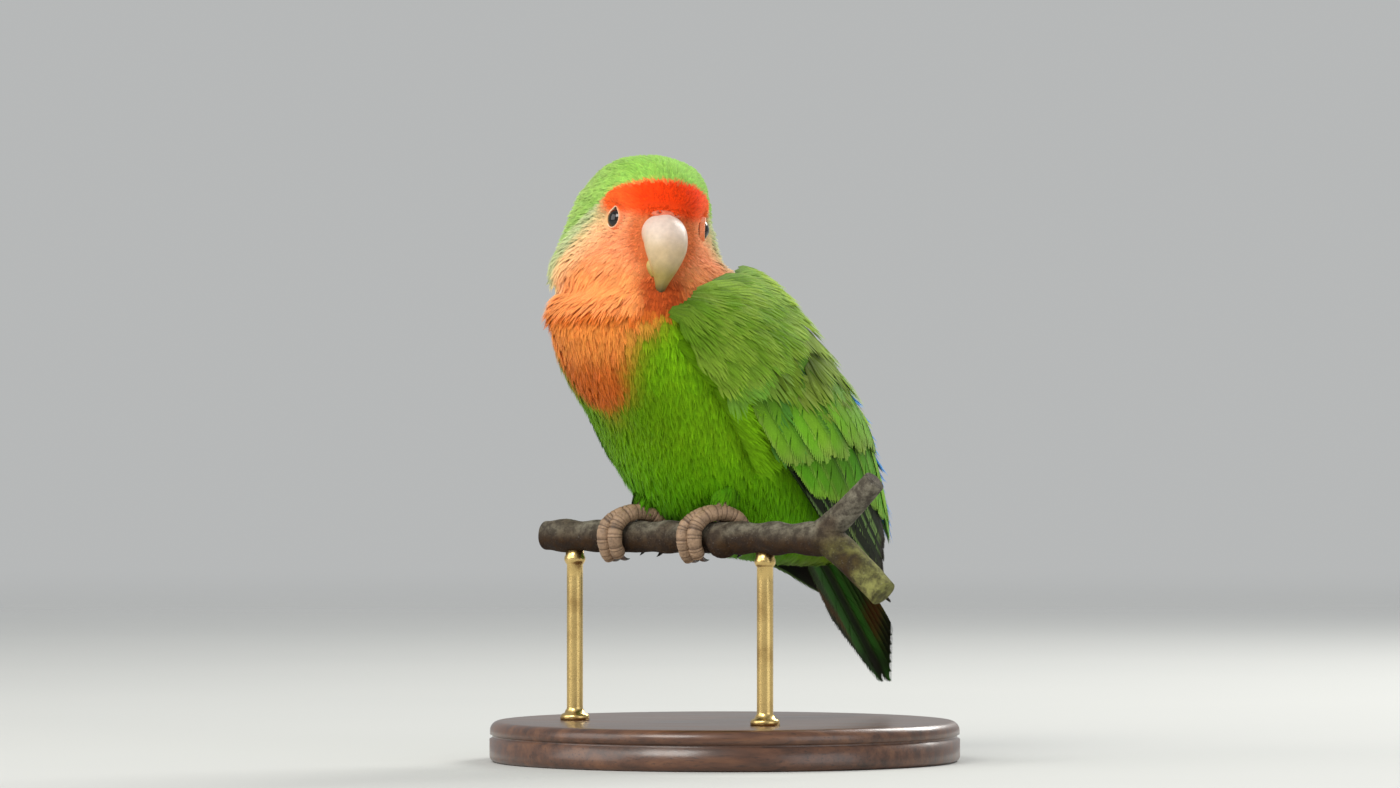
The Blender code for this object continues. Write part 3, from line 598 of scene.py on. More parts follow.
# Markings, as colours of the bird's own frame
CROWN = linear(148, 200, 84)
CROWN_EDGE = linear(166, 198, 108)
NAPE = linear(196, 206, 150)
BROW = linear(255, 66, 6)
BROW_SIDE = linear(255, 108, 44)
FACE = linear(255, 158, 106)
FACE_LOW = linear(252, 156, 88)
FACE_REAR = linear(255, 206, 150)
# painted shade in the crease round the bill's root
BILL_CREASE_SHADE = linear(214, 98, 40)
BIB = linear(250, 150, 68)
BIB_DEEP = linear(206, 92, 18)
# painted shadow under the bill
THROAT_SHADOW = linear(176, 62, 12)
BREAST_EDGE = linear(150, 150, 26)
BELLY = linear(110, 164, 0)
BELLY_SIDE = linear(128, 188, 14)
BELLY_LOW = linear(98, 180, 0)
VENT = linear(132, 158, 10)
MANTLE = linear(140, 182, 40)
BACK = linear(96, 158, 26)
RUMP = linear(44, 150, 236)
# height over the perch, and half the bib's width there
bib_width = through(
    ((30, 0.5), (32, 5), (34.5, 8), (38, 10), (42, 12), (46, 14.5), (51, 18.5), (58, 23), (66, 25))
)


def head_colours(points):
    """The head's markings, from places in the head's frame."""
    x, y, z = np.moveaxis(into_head(points), -1, 0)
    aside = np.abs(y)
    brow_top = 10.3 - 0.022 * aside**2 - 0.85 * np.maximum(0, 5 - x)
    behind = x - 3.8 - 0.52 * np.minimum(z - 2, 0) - 0.4 * np.maximum(z - 2, 0)
    crown = mixed(CROWN, CROWN_EDGE, smooth(4, -10, x) * 0.7 + smooth(6, 14, aside) * 0.3)
    face = layered(
        FACE,
        (FACE_LOW, smooth(-6, -16, z)),
        # painted shade: a darker ring in the crease round the bill's root
        (BILL_CREASE_SHADE, smooth(4.5, 1.0, np.abs(np.hypot(aside, z + 3) - 6.5)) * smooth(9, 12, x) * 0.7),
        # painted shadow: darker orange under the bill
        (THROAT_SHADOW, smooth(-9, -15, z) * smooth(8, 3.5, aside) * smooth(4, 9, x) * 0.9),
        (FACE_REAR, smooth(9, 1, behind) * 0.9 * smooth(5, -3, z)),
    )
    brow = mixed(BROW, BROW_SIDE, smooth(6, 12, aside) * 0.7 + smooth(6, 2, z) * 0.3)
    return layered(
        crown,
        (NAPE, smooth(12, 1, z) * (1 - 0.7 * smooth(-10, -20, behind))),
        (face, smooth(-2.5, 2.5, behind)),
        (crown, smooth(-0.7, 0.7, z - brow_top)),
        (brow, smooth(0.7, -0.7, z - brow_top) * smooth(1.0, 4.0, z + 0.12 * aside) * smooth(1.4, 4.0, x)),
    )


def body_colours(points):
    """The trunk's markings, from the height over the perch, and from a and b."""
    x, y, h = np.moveaxis(points, -1, 0)
    a, behind, _ = body_coordinates(points)
    back = layered(BACK, (MANTLE, smooth(-8, -30, a)), (RUMP, smooth(-2, 5, a)))
    edge = np.abs(y + 1.5) - bib_width(h)[0] + 1.6 * uneven(points, 7.0, SEED + 5)
    front = smooth(0, 7, x)
    # The deeper band just under the ruff, 49 to 54 mm high, is painted shade under the chin.
    bib = layered(BIB, (BIB_DEEP, smooth(46, 38, h) * 0.75), (BIB_DEEP, smooth(49, 54, h) * 0.7))
    return layered(
        BELLY,
        (BELLY_SIDE, smooth(10, 22, np.abs(y))),
        (BELLY_LOW, smooth(26, 4, h) * 0.8),
        (VENT, smooth(24, 40, a) * 0.7),
        (back, smooth(-4, 8, behind)),
        (BREAST_EDGE, smooth(7, 0, edge) * front * smooth(24, 32, h) * 0.85),
        (bib, smooth(3.4, -3.0, edge) * front * smooth(28, 33, h)),
    )


def markings(points):
    return mixed(body_colours(points), head_colours(points), head_zone(points))


# Skin
SKIN_VOXEL = 0.55
SKIN_SMOOTHING = 10
# The skin shows only in the gaps between the feathers; its markings are darkened by this much as painted
# shade.
SKIN_PAINTED_SHADE = 0.75
COAT_DEPTH_HEAD = 0.75
COAT_DEPTH_BODY = 1.7


def coat_depth(points):
    """How far under the coat's outside the skin lies."""
    return COAT_DEPTH_BODY + (COAT_DEPTH_HEAD - COAT_DEPTH_BODY) * head_share(points)


def rows_of(items, key, kind):
    values = np.empty(len(items) * 3, kind)
    items.foreach_get(key, values)
    return values.reshape(-1, 3)


def crosses(points, faces):
    corners = points[faces]
    return np.cross(corners[:, 1] - corners[:, 0], corners[:, 2] - corners[:, 0])


def make_skin():
    """One closed skin from the trunk and the head, in the bird's frame: its points, triangles and normals."""
    turns = around(96)
    forms = []
    for surface, rings, step in ((body_surface, BODY_RINGS, 1.2), (head_surface, HEAD_RINGS, 0.8)):
        forms.append(closed([surface(at, turns) for at in grid_values(rings[0][0], rings[-1][0], step)]))
    points, faces = together(*forms, closed(from_head(ball_rings(CERE_PLACE, CERE_REACH, 96, 24))))
    mesh = bpy.data.meshes.new("skin_form")
    mesh.from_pydata(points.tolist(), [], faces.tolist())
    form = linked("skin_form", mesh)
    remesh = form.modifiers.new("remesh", "REMESH")
    remesh.mode = "VOXEL"
    remesh.voxel_size = SKIN_VOXEL
    soften = form.modifiers.new("soften", "SMOOTH")
    soften.factor = 0.5
    soften.iterations = SKIN_SMOOTHING
    made = bpy.data.meshes.new_from_object(form.evaluated_get(bpy.context.evaluated_depsgraph_get()))
    bpy.data.objects.remove(form)
    made.calc_loop_triangles()
    points = rows_of(made.vertices, "co", np.float32).astype(float)
    points -= rows_of(made.vertices, "normal", np.float32) * coat_depth(points)[:, None]
    faces = rows_of(made.loop_triangles, "vertices", np.int32)
    bpy.data.meshes.remove(made)
    place = into_head(points)
    for side in SIDES.values():
        off, along = from_eye(place, side)
        sunk = smooth(5.2, 2.9, off) * (along > -2) * SOCKET_DEPTH
        place = place - eye_line(side)[1] * sunk[:, None]
    points = from_head(place)
    cross = crosses(points, faces)
    normals = np.zeros_like(points)
    for k in range(3):
        np.add.at(normals, faces[:, k], cross)
    return points, faces, unit(normals)


skin_points, skin_faces, skin_normals = make_skin()
skin_tree = BVHTree.FromPolygons(skin_points.tolist(), skin_faces.tolist())


def nearest_on_skin(points):
    """The skin's nearest points and its smooth normals there."""
    hits = [skin_tree.find_nearest(point) for point in points.tolist()]
    found = np.array([tuple(hit[0]) for hit in hits])
    corners = skin_faces[[hit[2] for hit in hits]]
    weights = 1 / (np.linalg.norm(skin_points[corners] - found[:, None], axis=-1) + 1e-3)
    weights = weights / weights.sum(1, keepdims=True)
    return found, unit((skin_normals[corners] * weights[..., None]).sum(1))


# Coat: where feathers grow, and how they lie
def scatter(density):
    """Even random roots over the skin: density gives the wanted spacing at points."""
    draw = np.random.default_rng(SEED)
    corners = skin_points[skin_faces]
    areas = np.linalg.norm(crosses(skin_points, skin_faces), axis=1) / 2
    spacing = density(corners.mean(1))
    wanted = np.where(spacing > 0, areas / np.maximum(spacing, 0.05) ** 2, 0)
    total = int(wanted.sum() * 1.6)
    chosen = draw.choice(len(skin_faces), total, p=wanted / wanted.sum())
    one, two = draw.random((2, total))
    over = one + two > 1
    one, two = np.where(over, 1 - one, one)[:, None], np.where(over, 1 - two, two)[:, None]
    base = corners[chosen]
    points = base[:, 0] + (base[:, 1] - base[:, 0]) * one + (base[:, 2] - base[:, 0]) * two
    tree = kdtree.KDTree(total)
    for i, point in enumerate(points.tolist()):
        tree.insert(point, i)
    tree.balance()
    kept = np.ones(total, bool)
    for i, (point, near) in enumerate(zip(points.tolist(), (spacing[chosen] * 0.72).tolist())):
        if kept[i]:
            for _, j, _ in tree.find_range(point, near):
                kept[j] &= j <= i
    return points[kept], unit(skin_normals[skin_faces[chosen[kept]]].mean(1))


def lie(points, normals):
    """The way feathers point, along the skin: away from the bill, round the eyes, and down the trunk."""
    place = into_head(points)
    x, y, z = place.T
    away = place - (12.5, 0, -1.0)
    far = np.linalg.norm(away, axis=1, keepdims=True)
    on_head = away / far - UP * smooth(6, 26, far) * 1.3
    for side in SIDES.values():
        gap = place - eye_line(side)[0]
        near = smooth(7.0, 4.2, np.linalg.norm(gap, axis=1)) * smooth(2.5, 0.0, gap[:, 0])
        on_head = on_head + unit(gap) * (near * 1.6)[:, None]
    over_cere = smooth(5.6, 4.4, z) * smooth(1.0, 2.0, z) * smooth(6.5, 5.0, np.abs(y)) * smooth(9, 11, x)
    on_head = mixed(unit(on_head), (0.5, 0, -1.0), over_cere) @ np.array(HEAD_MATRIX)[:3, :3].T
    a, behind, _ = body_coordinates(points)
    on_body = mixed(ALONG, -UP, smooth(8, -8, behind) * (0.7 + 0.25 * smooth(-10, 25, a)))
    flow = unit(mixed(on_body, unit(on_head), head_zone(points)))
    return unit(flow - normals * dot(flow, normals)[:, None])


# How far along a barb its pairs of corners are and how wide it is there, and its corners with the tip
TUFT_STATIONS = ((0.0, 0.9), (0.5, 1.25), (0.82, 0.8))
BARB_ROWS = 2 * len(TUFT_STATIONS) + 1


def tuft_layout(barbs):
    """One small feather as a brush of tapered barbs.

    Each row is t along it, v across it from -1 to 1, and up; the faces are triangles.
    """
    rows, faces = [], []
    for i, place in enumerate(np.linspace(-1, 1, barbs)):
        end = 1 - 0.3 * place**2 - 0.05 * ((i * BARB_ROWS) % 3)
        up = 0.5 * ((i % 2) - 0.5)
        first = len(rows)
        for t, wide in TUFT_STATIONS:
            across = place * 0.9 * (0.35 + 0.65 * math.sin(min(1.0, t * 1.25) * math.pi / 2))
            half = 1.25 / barbs * wide
            rows += [(t * end, across - half, up), (t * end, across + half, up)]
        rows.append((end, place * 0.9, up))
        faces += [*strip(first, 3), (first + 4, first + 5, first + 6)]
    return np.array(rows), np.array(faces)


PATCH = 0.003
STEPS = np.array((0.0, 0.35, 0.7, 1.0))


def bake_patches(at, t, v):
    """A small patch for each feather, at its root's place on the unwrap."""
    return at[:, None] + np.stack([v * PATCH / 2, (t - 0.5) * PATCH], -1)


def brushes(name, spine, tops, width, colour, at, barbs, slot, draw, shades=(0.66, 1.08), shortest=0.7):
    """Small feathers, one brush of barbs along each spine, lit as the rounded coat that they make up.

    shades are how bright a barb's root and tip are: the darker root is partly the feathers' own greyer bases
    and partly painted shade where they overlap. shortest is a share of its feather.
    """
    rows, faces = tuft_layout(barbs)
    count = len(spine)
    t, v, up = rows.T
    barb = np.arange(len(rows)) // BARB_ROWS
    shape = (count, barbs)
    each = np.arange(count)[:, None]
    along = unit(spine[:, -1] - spine[:, 0])[:, None]
    reach = t * draw.uniform(shortest, 1.0, shape)[:, barb]
    segment = np.clip(np.searchsorted(STEPS, reach, "right") - 1, 0, len(STEPS) - 2)
    share = (reach - STEPS[segment]) / (STEPS[segment + 1] - STEPS[segment])
    place = mixed(spine[each, segment], spine[each, segment + 1], share)
    top = unit(mixed(tops[each, segment], tops[each, segment + 1], share))
    side = unit(np.cross(top, along))
    bent = v + draw.normal(0, 0.22, shape)[:, barb] * reach**2
    raised = up * 0.12 - 0.12 * v**2 + draw.uniform(-0.12, 0.12, shape)[:, barb] * reach
    points = place + side * (bent * (width / 2)[:, None])[..., None] + top * raised[..., None]
    lean = draw.normal(0, 0.2, shape)[:, barb] + 0.3 * v
    normals = unit(top + side * lean[..., None] + along * 0.12)
    # Darker towards the root: partly the feathers' own greyer bases, partly painted shade between overlapping
    # feathers.
    shade = shades[0] + (shades[1] - shades[0]) * reach
    shade = shade * draw.uniform(0.9, 1.1, shape)[:, barb]
    every = (faces[None, :, ::-1] + (each * len(rows))[:, None]).reshape(-1, 3)
    look = "head" if slot == "head_feathers" else "body"
    colours = colour[:, None] * shade[..., None]
    piece(name, points, every, look, slot, colours, bake_patches(at, t, v), normals=normals)


def small_feathers(name, roots, normals, length, width, lift, slot, seed):
    """Small feathers over the skin, one brush at each root, bent to follow what lies under them."""
    draw = np.random.default_rng(seed)
    count = len(roots)
    flow = lie(roots, normals)
    flow = unit(flow + np.cross(normals, flow) * draw.normal(0, 0.14, count)[:, None])
    length = length * draw.uniform(0.78, 1.22, count)
    lift = lift * draw.uniform(0.85, 1.12, count)
    spine, tops = [], []
    for step in STEPS:
        straight = roots + flow * (length * step)[:, None]
        down, normal = nearest_on_skin(straight)
        follow = smooth(0.35, 0.75, dot(normal, normals))
        level = (lift * (0.15 + 0.85 * step) - 0.15 * (1 - step))[:, None]
        spine.append(mixed(straight + normals * level * 0.6, down + normal * level, follow))
        tops.append(unit(mixed(normals, normal, follow)))
    on_head = slot == "head_feathers"
    colour = markings(roots + flow * (length * (0.3 if on_head else 0.7))[:, None])
    colour = colour * draw.uniform(0.9, 1.1, (count, 1)) * (1 + draw.normal(0, 0.025, (count, 3)))
    unwrap, barbs, shades = (head_unwrap, 5, (0.84, 1.06)) if on_head else (body_unwrap, 7, (0.76, 1.1))
    spine, tops = np.stack(spine, 1), np.stack(tops, 1)
    brushes(name, spine, tops, width, colour, unwrap(roots), barbs, slot, draw, shades)


def unwrapped(turn, share):
    """Places on the bake map, inside its margin, from a turn and a share of the other way."""
    return 0.02 + 0.96 * np.stack([turn / (2 * math.pi) + 0.5, share], -1)


def body_unwrap(points):
    a, _, turn = body_coordinates(points)
    low, high = BODY_RINGS[0][0], BODY_RINGS[-1][0]
    return unwrapped(turn, (a - low) / (high - low))


def head_unwrap(points):
    """Round the head's upright axis, and down from the crown by the angle."""
    x, y, z = unit(into_head(points) - (-3.0, 0, -4.0)).T
    return unwrapped(np.arctan2(y, x), np.arccos(np.clip(z, -1, 1)) / math.pi)


def bare(points):
    """Where nothing grows: bill, cere, eyes, and under the wings."""
    place = into_head(points)
    x, y, z = place.T
    none = np.zeros(len(points), bool)
    for side in SIDES.values():
        off, along = from_eye(place, side)
        none |= (off < 2.75 + 0.45 * smooth(5.2, 7.2, x)) & (along > -2)
    y = y + BILL_YAW * (x - BILL_ROOT)
    none |= (np.abs(y) < 5.3) & (x > 9.0) & (z > -7.2) & (z < 3.0 - 0.05 * y * y)
    none |= (np.abs(y) < 3.9) & (x > 9.0) & (z > -12.0) & (z <= -7.2)
    a, _, turn = body_coordinates(points)
    _, back, aside = wing_rows(a)
    w = np.abs(turn) * (back + aside) / 2
    upper, lower = wing_edges(a)
    covered = (w > upper + 3.5) & (w < lower - 5) & (a > -44) & (a < 40)
    return none | (covered & (head_share(points) < 0.5))


def feather_sizes(points):
    """Length, width, lift and spacing of the feathers at these roots."""
    share = head_zone(points)
    place = into_head(points)
    x, y, z = place.T
    a, behind, _ = body_coordinates(points)

    def distance(point, squash=1.0):
        return np.linalg.norm((place - point) * (1, 1, squash), axis=1)

    def blended(on_body, on_head):
        return on_body + (on_head - on_body) * share

    eyes = np.min([distance(EYE_PLACE * (1, side, 1)) for side in SIDES.values()], 0)
    near = np.maximum(smooth(13, 6.5, distance((14.0, 0, -3.0), 0.8)), smooth(7.5, 4, eyes))
    ruff = smooth(-4, -15, z)
    behind = smooth(-4, 6, behind)
    lower = smooth(0, 30, a)
    chin = smooth(10, 5.5, distance((15.0, -0.6, -15.5), 0.8))
    length = blended(5.6 + 2.8 * lower + 0.8 * behind, 2.6 + 4.4 * ruff - 1.5 * near) * (1 - 0.5 * chin)
    width = blended(1.7 + 0.4 * lower + 1.2 * behind, 1.1 + 0.6 * ruff - 0.45 * near)
    puffed = smooth(3.5, 0, x) * smooth(-13, -6, x) * smooth(6, 10, np.abs(y)) * smooth(9, 4, z) * share
    lift = coat_depth(points) * (1 - 0.3 * near * share) * (1 - 0.8 * chin) + 1.1 * puffed
    off = np.min([from_eye(place, side)[0] for side in SIDES.values()], 0)
    lift = lift + (0.35 + 0.5 * smooth(5.5, 7.5, x)) * smooth(5.0, 3.2, off) * share
    lift = lift + 0.6 * smooth(-15, -19, z) * share * (1 - chin)
    return length, width, lift, blended(0.98 + 0.4 * behind, 0.66 + 0.2 * ruff - 0.2 * near)


def make_coat():
    roots, normals = scatter(lambda points: np.where(bare(points), -1.0, feather_sizes(points)[3]))
    every = (roots, normals, *feather_sizes(roots)[:3])
    on_head = head_zone(roots) > 0.5
    ahead = into_head(roots)[:, 0] > 0
    a, behind, _ = body_coordinates(roots)
    front = ~on_head & (behind <= 0)
    regions = (
        ("head_feathers_face", on_head & ahead, "head_feathers"),
        ("head_feathers_nape", on_head & ~ahead, "head_feathers"),
        ("breast_feathers", front & (a < -14), "neck_feathers"),
        ("belly_feathers", front & (a >= -14), "torso_feathers"),
        ("back_feathers", ~on_head & (behind > 0), "torso_feathers"),
    )
    for number, (name, chosen, slot) in enumerate(regions, 1):
        small_feathers(name, *(values[chosen] for values in every), slot, SEED + number)


# Vanes: wings and tail
def vane_layout(pairs, narrow_root=0.5):
    """A long feather: a raised shaft, a thin web, and barbs that lean towards the tip over it.

    Each row is t along, v across and the height over the web in millimetres.
    """

    def outline(t):
        rise = narrow_root + (1 - narrow_root) * min(1.0, (t + 0.02) / 0.28)
        return rise * max(math.sqrt(max(0.0, 1 - max(0.0, (t - 0.78) / 0.22) ** 2.2)), 0.03)

    rows = []
    for t in np.linspace(0, 1, 9):
        rows += [(t, v * outline(t) * 0.93, -0.1 - 0.05 * abs(v)) for v in (-1, -0.5, 0, 0.5, 1)]
    faces = strip(0, 9, 5)
    step = 0.97 / pairs
    for i in range(pairs):
        start = 0.01 + step * i
        up = 0.03 * (i % 2)
        for side in (-1, 1):
            end = min(1.0, start + 0.16 * (0.5 + 0.5 * outline(min(1, start + 0.1))))
            if start > 0.85:
                end = start + (1.0 - start) * 0.9
            reach = outline(end) if end < 0.995 else 0.12
            tip_gap = 0.0 if (i * 5 + (side > 0)) % 9 else -0.05
            barb = strip(len(rows), 4)
            faces += barb if side < 0 else [face[::-1] for face in barb]
            for s, half in ((0.0, 0.62), (0.35, 0.66), (0.7, 0.52), (1.0, 0.16)):
                t = start + (end - start) * s**0.85 + tip_gap * s
                v = side * reach * s
                rows += [(t - step * half, v, up), (t + step * half, v, up + 0.02)]
    faces += strip(len(rows), 9, 3)
    for t in np.linspace(0, 0.96, 9):
        thin = 1 - 0.75 * t
        rows += [(t, -0.055 * thin, 0.02), (t, 0, 0.02 + 0.2 * thin), (t, 0.055 * thin, 0.02)]
    return np.array(rows), np.array(faces)


def vane_piece(name, vanes, slot, replaced):
    """Many vanes as one piece, from each one's points, faces, colours and patches."""
    points, faces = together(*[vane[:2] for vane in vanes])
    colours, patches = (np.concatenate([vane[k] for vane in vanes]) for k in (2, 3))
    piece(name, points, faces, "vane", slot, colours, patches, replaces=[replaced])


# Each tier of barbed vanes: name, count, first and last root and tip, width, tip lift, and barbs a side.
# A root or tip is a along the body, and a share across the wing from its upper edge to its lower one.
WING_TIERS = (
    ("primary", 9, (0, 0.93), (20, 0.6), (62, 0.78), (46, 0.5), 6.2, 0.0, 40),
    ("secondary", 10, (-14, 0.9), (16, 0.2), (14, 0.9), (50, 0.26), 7.4, 0.4, 36),
    ("tertial", 5, (2, 0.34), (8, 0.04), (43, 0.3), (50, 0.06), 8.2, 0.75, 32),
    ("greater_covert", 12, (-26, 0.93), (0, 0.14), (-1, 0.93), (27, 0.2), 7.4, 1.0, 30),
)
# Inner web, outer web, outer edge and tip of each kind of vane
VANE_COLOURS = {
    "primary": ((20, 18, 12), (26, 34, 14), (150, 188, 104), (36, 26, 14)),
    "secondary": ((40, 66, 12), (84, 150, 20), (132, 182, 62), (124, 170, 50)),
    "tertial": ((92, 150, 14), (116, 172, 22), (150, 196, 60), (136, 176, 50)),
    "greater_covert": ((52, 104, 12), (112, 168, 34), (138, 180, 66), (134, 166, 66)),
}
# Soft coverts: name, how many along the wing and across it, first and last a, how far the last is set back,
# first and last share, length, width, the tip's lift, two colours to draw from, and how dark their roots are
# painted, as shade in the gaps between them
WING_BRUSHES = (
    ("median", 3, 9, (-30, -15), 10, (0.9, 0.12), 13.0, 8.6, 1.6, (104, 140, 16), (146, 172, 60), 0.3),
    ("lesser", 11, 14, (-52, -29), 4, (1.04, 0.1), 8.5, 5.2, 2.2, (116, 162, 34), (150, 184, 60), 0.55),
    ("scapular", 13, 6, (-52, 5), 0, (0.3, -0.15), 13.0, 6.6, 2.8, (146, 188, 20), (170, 204, 56), 0.5),
)
# how wide the brushes' rows are on the right wing, as a share of the left one's
RIGHT_ROWS = 0.86


def wing_unwrap(across, a):
    return np.stack([across + 0 * a, 0.05 + 0.9 * (a + 52) / 120], -1)


def vane_shades(kind, rows, count, draw):
    """Colours for each vertex of each vane: inner web, outer web, edge and tip."""
    inner, outer, edge, tip = (linear(*colour) for colour in VANE_COLOURS[kind])
    t, v, up = rows.T
    colour = layered(
        inner,
        (outer, smooth(-0.25, 0.15, v)),
        (edge, smooth(0.7, 0.9, v) * 0.9),
        (inner, smooth(-0.6, -0.95, v) * 0.5),
        (tip, smooth(0.72, 0.96, t) * 0.8),
    )
    shaft = np.where((np.abs(v) < 0.06) & (up > 0.1), 0.55, 1)
    # Darker towards the root, painted shade where each vane lies under the feathers over it, and darker along
    # the raised shaft.
    colour = colour * ((0.5 + 0.56 * smooth(0, 0.6, t)) * shaft)[:, None]
    return colour * draw.uniform(0.82, 1.14, (count, 1, 1)) * (1 + draw.normal(0, 0.04, (count, 1, 3)))


def make_wing(word, side):
    """The barbed vanes of a folded wing, tier by tier."""
    draw = np.random.default_rng(SEED + 40 + side)
    vanes = []
    for tier, count, root_first, root_last, tip_first, tip_last, width, lift, pairs in WING_TIERS:
        rows, faces = vane_layout(pairs)
        t, v, up = rows.T
        roots, tips = np.linspace(root_first, root_last, count), np.linspace(tip_first, tip_last, count)
        tips[:, 0] += draw.uniform(-1.6, 1.6, count)
        tips[:, 1] += draw.normal(0, 0.012, count)
        half = (width + draw.uniform(-0.7, 0.7, count)) / 2
        top = lift + draw.uniform(-0.12, 0.12, count)
        a, share = (roots[:, k, None] + (tips - roots)[:, k, None] * t for k in (0, 1))
        shift = v * half[:, None] * np.minimum(1.0, 0.3 + (62 - a) / 40)
        level = -0.4 + (top[:, None] + 0.4) * np.minimum(1.0, t * 1.4)
        height = level + up + v * 0.34 - 0.18 * v**2 + 0.5
        points = wing_point(side, a, share, height, shift)
        colours = vane_shades(tier, rows, count, draw)
        patches = bake_patches(wing_unwrap(0.05 + 0.9 * roots[:, 1], roots[:, 0]), t, v)
        vanes += [(points[i], faces[:, ::side], colours[i], patches[i]) for i in range(count)]
    vane_piece(f"wing_{word}_vanes", vanes, "wing_feathers", f"wing_{word}")


def over_cheek(place):
    """How far places are above the lower border of the cheek that lies on the left wing's shoulder."""
    outward = (place[:, 1] - place[:, 0]) * math.sqrt(0.5)
    above = place[:, 2] - 58.5 - 0.5 * np.maximum(0, outward - 7.1)
    return np.min([above, 20.0 - outward, place[:, 1]], 0)


def make_wing_core(word, side):
    """The folded wing's own body, a crescent under the vanes, sunk where the cheek lies on it."""
    rings = []
    shares = np.linspace(0.06, 0.94, 14)
    for a in grid_values(-45, 38, 2):
        depth = min(4.5, 0.6 + (38 - a) * 0.16)
        at = np.full(len(shares), a)
        sunk = 6.0 * smooth(-1.5, 1.5, over_cheek(wing_point(side, at, shares, -0.2)))
        inner = wing_point(side, at, shares, -depth - sunk)
        rings.append(np.concatenate([wing_point(side, at, shares, -0.2 - sunk), inner[::-1]]))
    points, faces = closed(rings)
    # Green at the front, almost black towards the tail: painted shade under the vanes, seen in the gaps
    # between them.
    shade = mixed(linear(84, 132, 24), linear(34, 48, 18), smooth(-24, 20, points @ ALONG))
    piece(f"wing_{word}_core", points, faces, "body", "wing_feathers", shade)


def spines(at_step):
    """Spines from the places at each step, and the way up there, towards the places 1 mm higher."""
    low, high = (np.stack([at_step(step, over) for step in STEPS], 1) for over in (0, 1))
    return low, unit(high - low)


def make_wing_brushes(word, side):
    """Soft feathers over the folded wing, in rows that run down it, except where the head covers it."""
    for number, (name, *layout, length, width, lift, dull, bright, dark) in enumerate(WING_BRUSHES):
        rows, across, (a_first, a_last), back, shares = layout
        draw = np.random.default_rng(SEED + 100 + number * 2 + side)
        row, column = np.meshgrid(np.arange(rows), np.arange(across), indexing="ij")
        along = (row + draw.uniform(-0.35, 0.35, row.shape)).ravel() / (rows - 1)
        place = (column + 0.5 * (row % 2) + draw.uniform(-0.3, 0.3, row.shape)).ravel() / (across - 0.5)
        a = a_first + (a_last - a_first) * along + back * place
        share = (shares[0] + (shares[1] - shares[0]) * place) * (1 if side > 0 else RIGHT_ROWS)
        order = np.argsort(-a)
        a, share = a[order], share[order]
        root = wing_point(side, a, share, 0.5)
        clear = (depth_in_head(root) < (-3.0 if side > 0 else -1.5)) & (over_cheek(root) < 0.5)
        clear &= over_cheek(wing_point(side, a + 0.9 * length, share, lift)) < 0
        a, share = a[clear], share[clear]
        count = len(a)
        colour = mixed(linear(*dull), linear(*bright), draw.random(count))
        if name != "scapular":
            colour = mixed(colour, linear(70, 158, 60), smooth(0.7, 0.95, share) * smooth(-34, -24, a) * 0.7)
        colour = colour * draw.uniform(0.92, 1.08, (count, 1))
        aside = draw.normal(0, 0.1, count)
        reach = length * draw.uniform(0.85, 1.15, count)
        raised = lift * draw.uniform(0.9, 1.1, count)

        def at_step(step, over):
            level = raised * (0.15 + 0.85 * step) - 0.4 * (1 - step) + over
            return wing_point(side, a + reach * step, share, level, aside * reach * step)

        width = width * draw.uniform(0.88, 1.12, count)
        at = wing_unwrap(0.08 + 0.84 * share, a)
        name = f"wing_{word}_{name}"
        # Roots darkened: painted shade in the gaps between the rows of coverts.
        brushes(name, *spines(at_step), width, colour, at, 15, "wing_feathers", draw, (dark, 1.1), 0.9)


def make_flanks(word, side):
    """Flank feathers that lie over the wing's leading edge."""
    draw = np.random.default_rng(SEED + 120 + side)
    count = 300
    a = draw.uniform(-46, -8, count)
    beyond = draw.uniform(-0.5, 4.5, count) - (0 if side > 0 else 3.0)
    length = draw.uniform(6.5, 9.5, count)
    raised = 3.4 + 0.5 * smooth(10, -20, a) - 2.4 * smooth(-24, -8, a) if side > 0 else 1.6

    def at_step(step, over):
        at = a + length * step
        w = wing_edges(at)[1] + beyond - 3.4 * step * smooth(14, -30, a)
        return wing_at(side, at, w, -2.6 + raised * step + over)

    spine, tops = spines(at_step)
    clear = depth_in_head(spine[:, 0]) < -3.0
    spine, tops, a, count = spine[clear], tops[clear], a[clear], int(clear.sum())
    colour = mixed(BELLY_SIDE, BELLY_LOW, smooth(-20, 20, a)) * draw.uniform(0.88, 1.08, (count, 1))
    width = draw.uniform(2.4, 3.6, count)
    brushes(f"flank_{word}", spine, tops, width, colour, wing_unwrap(0.92, a), 7, "torso_feathers", draw)


def make_rump():
    """The rump's feathers, loose over the inner edges of both wings."""
    draw = np.random.default_rng(SEED + 130)
    count = 640
    a = np.sort(draw.uniform(-4, 44, count))[::-1]
    w = draw.uniform(-17, 17, count) * np.clip(1.1 - (a - 20) / 60, 0.55, 1)
    side = np.where(w > 0, 1.0, -1.0)
    length = draw.uniform(7, 10, count)
    loose = smooth(9, 16, np.abs(w)) * draw.random(count)

    def at_step(step, over):
        level = 0.5 + (1.4 + 1.9 * loose) * step + over
        return wing_at(side, a + length * step, np.abs(w) * (1 - 0.12 * step), level)

    colour = mixed(linear(38, 128, 214), linear(84, 172, 240), draw.random(count))
    colour = mixed(colour, linear(110, 168, 60), smooth(6, -4, a))
    width = draw.uniform(3.2, 4.6, count)
    at = wing_unwrap(0.5 + 0.02 * w, a)
    brushes("rump_feathers", *spines(at_step), width, colour, at, 9, "torso_feathers", draw)


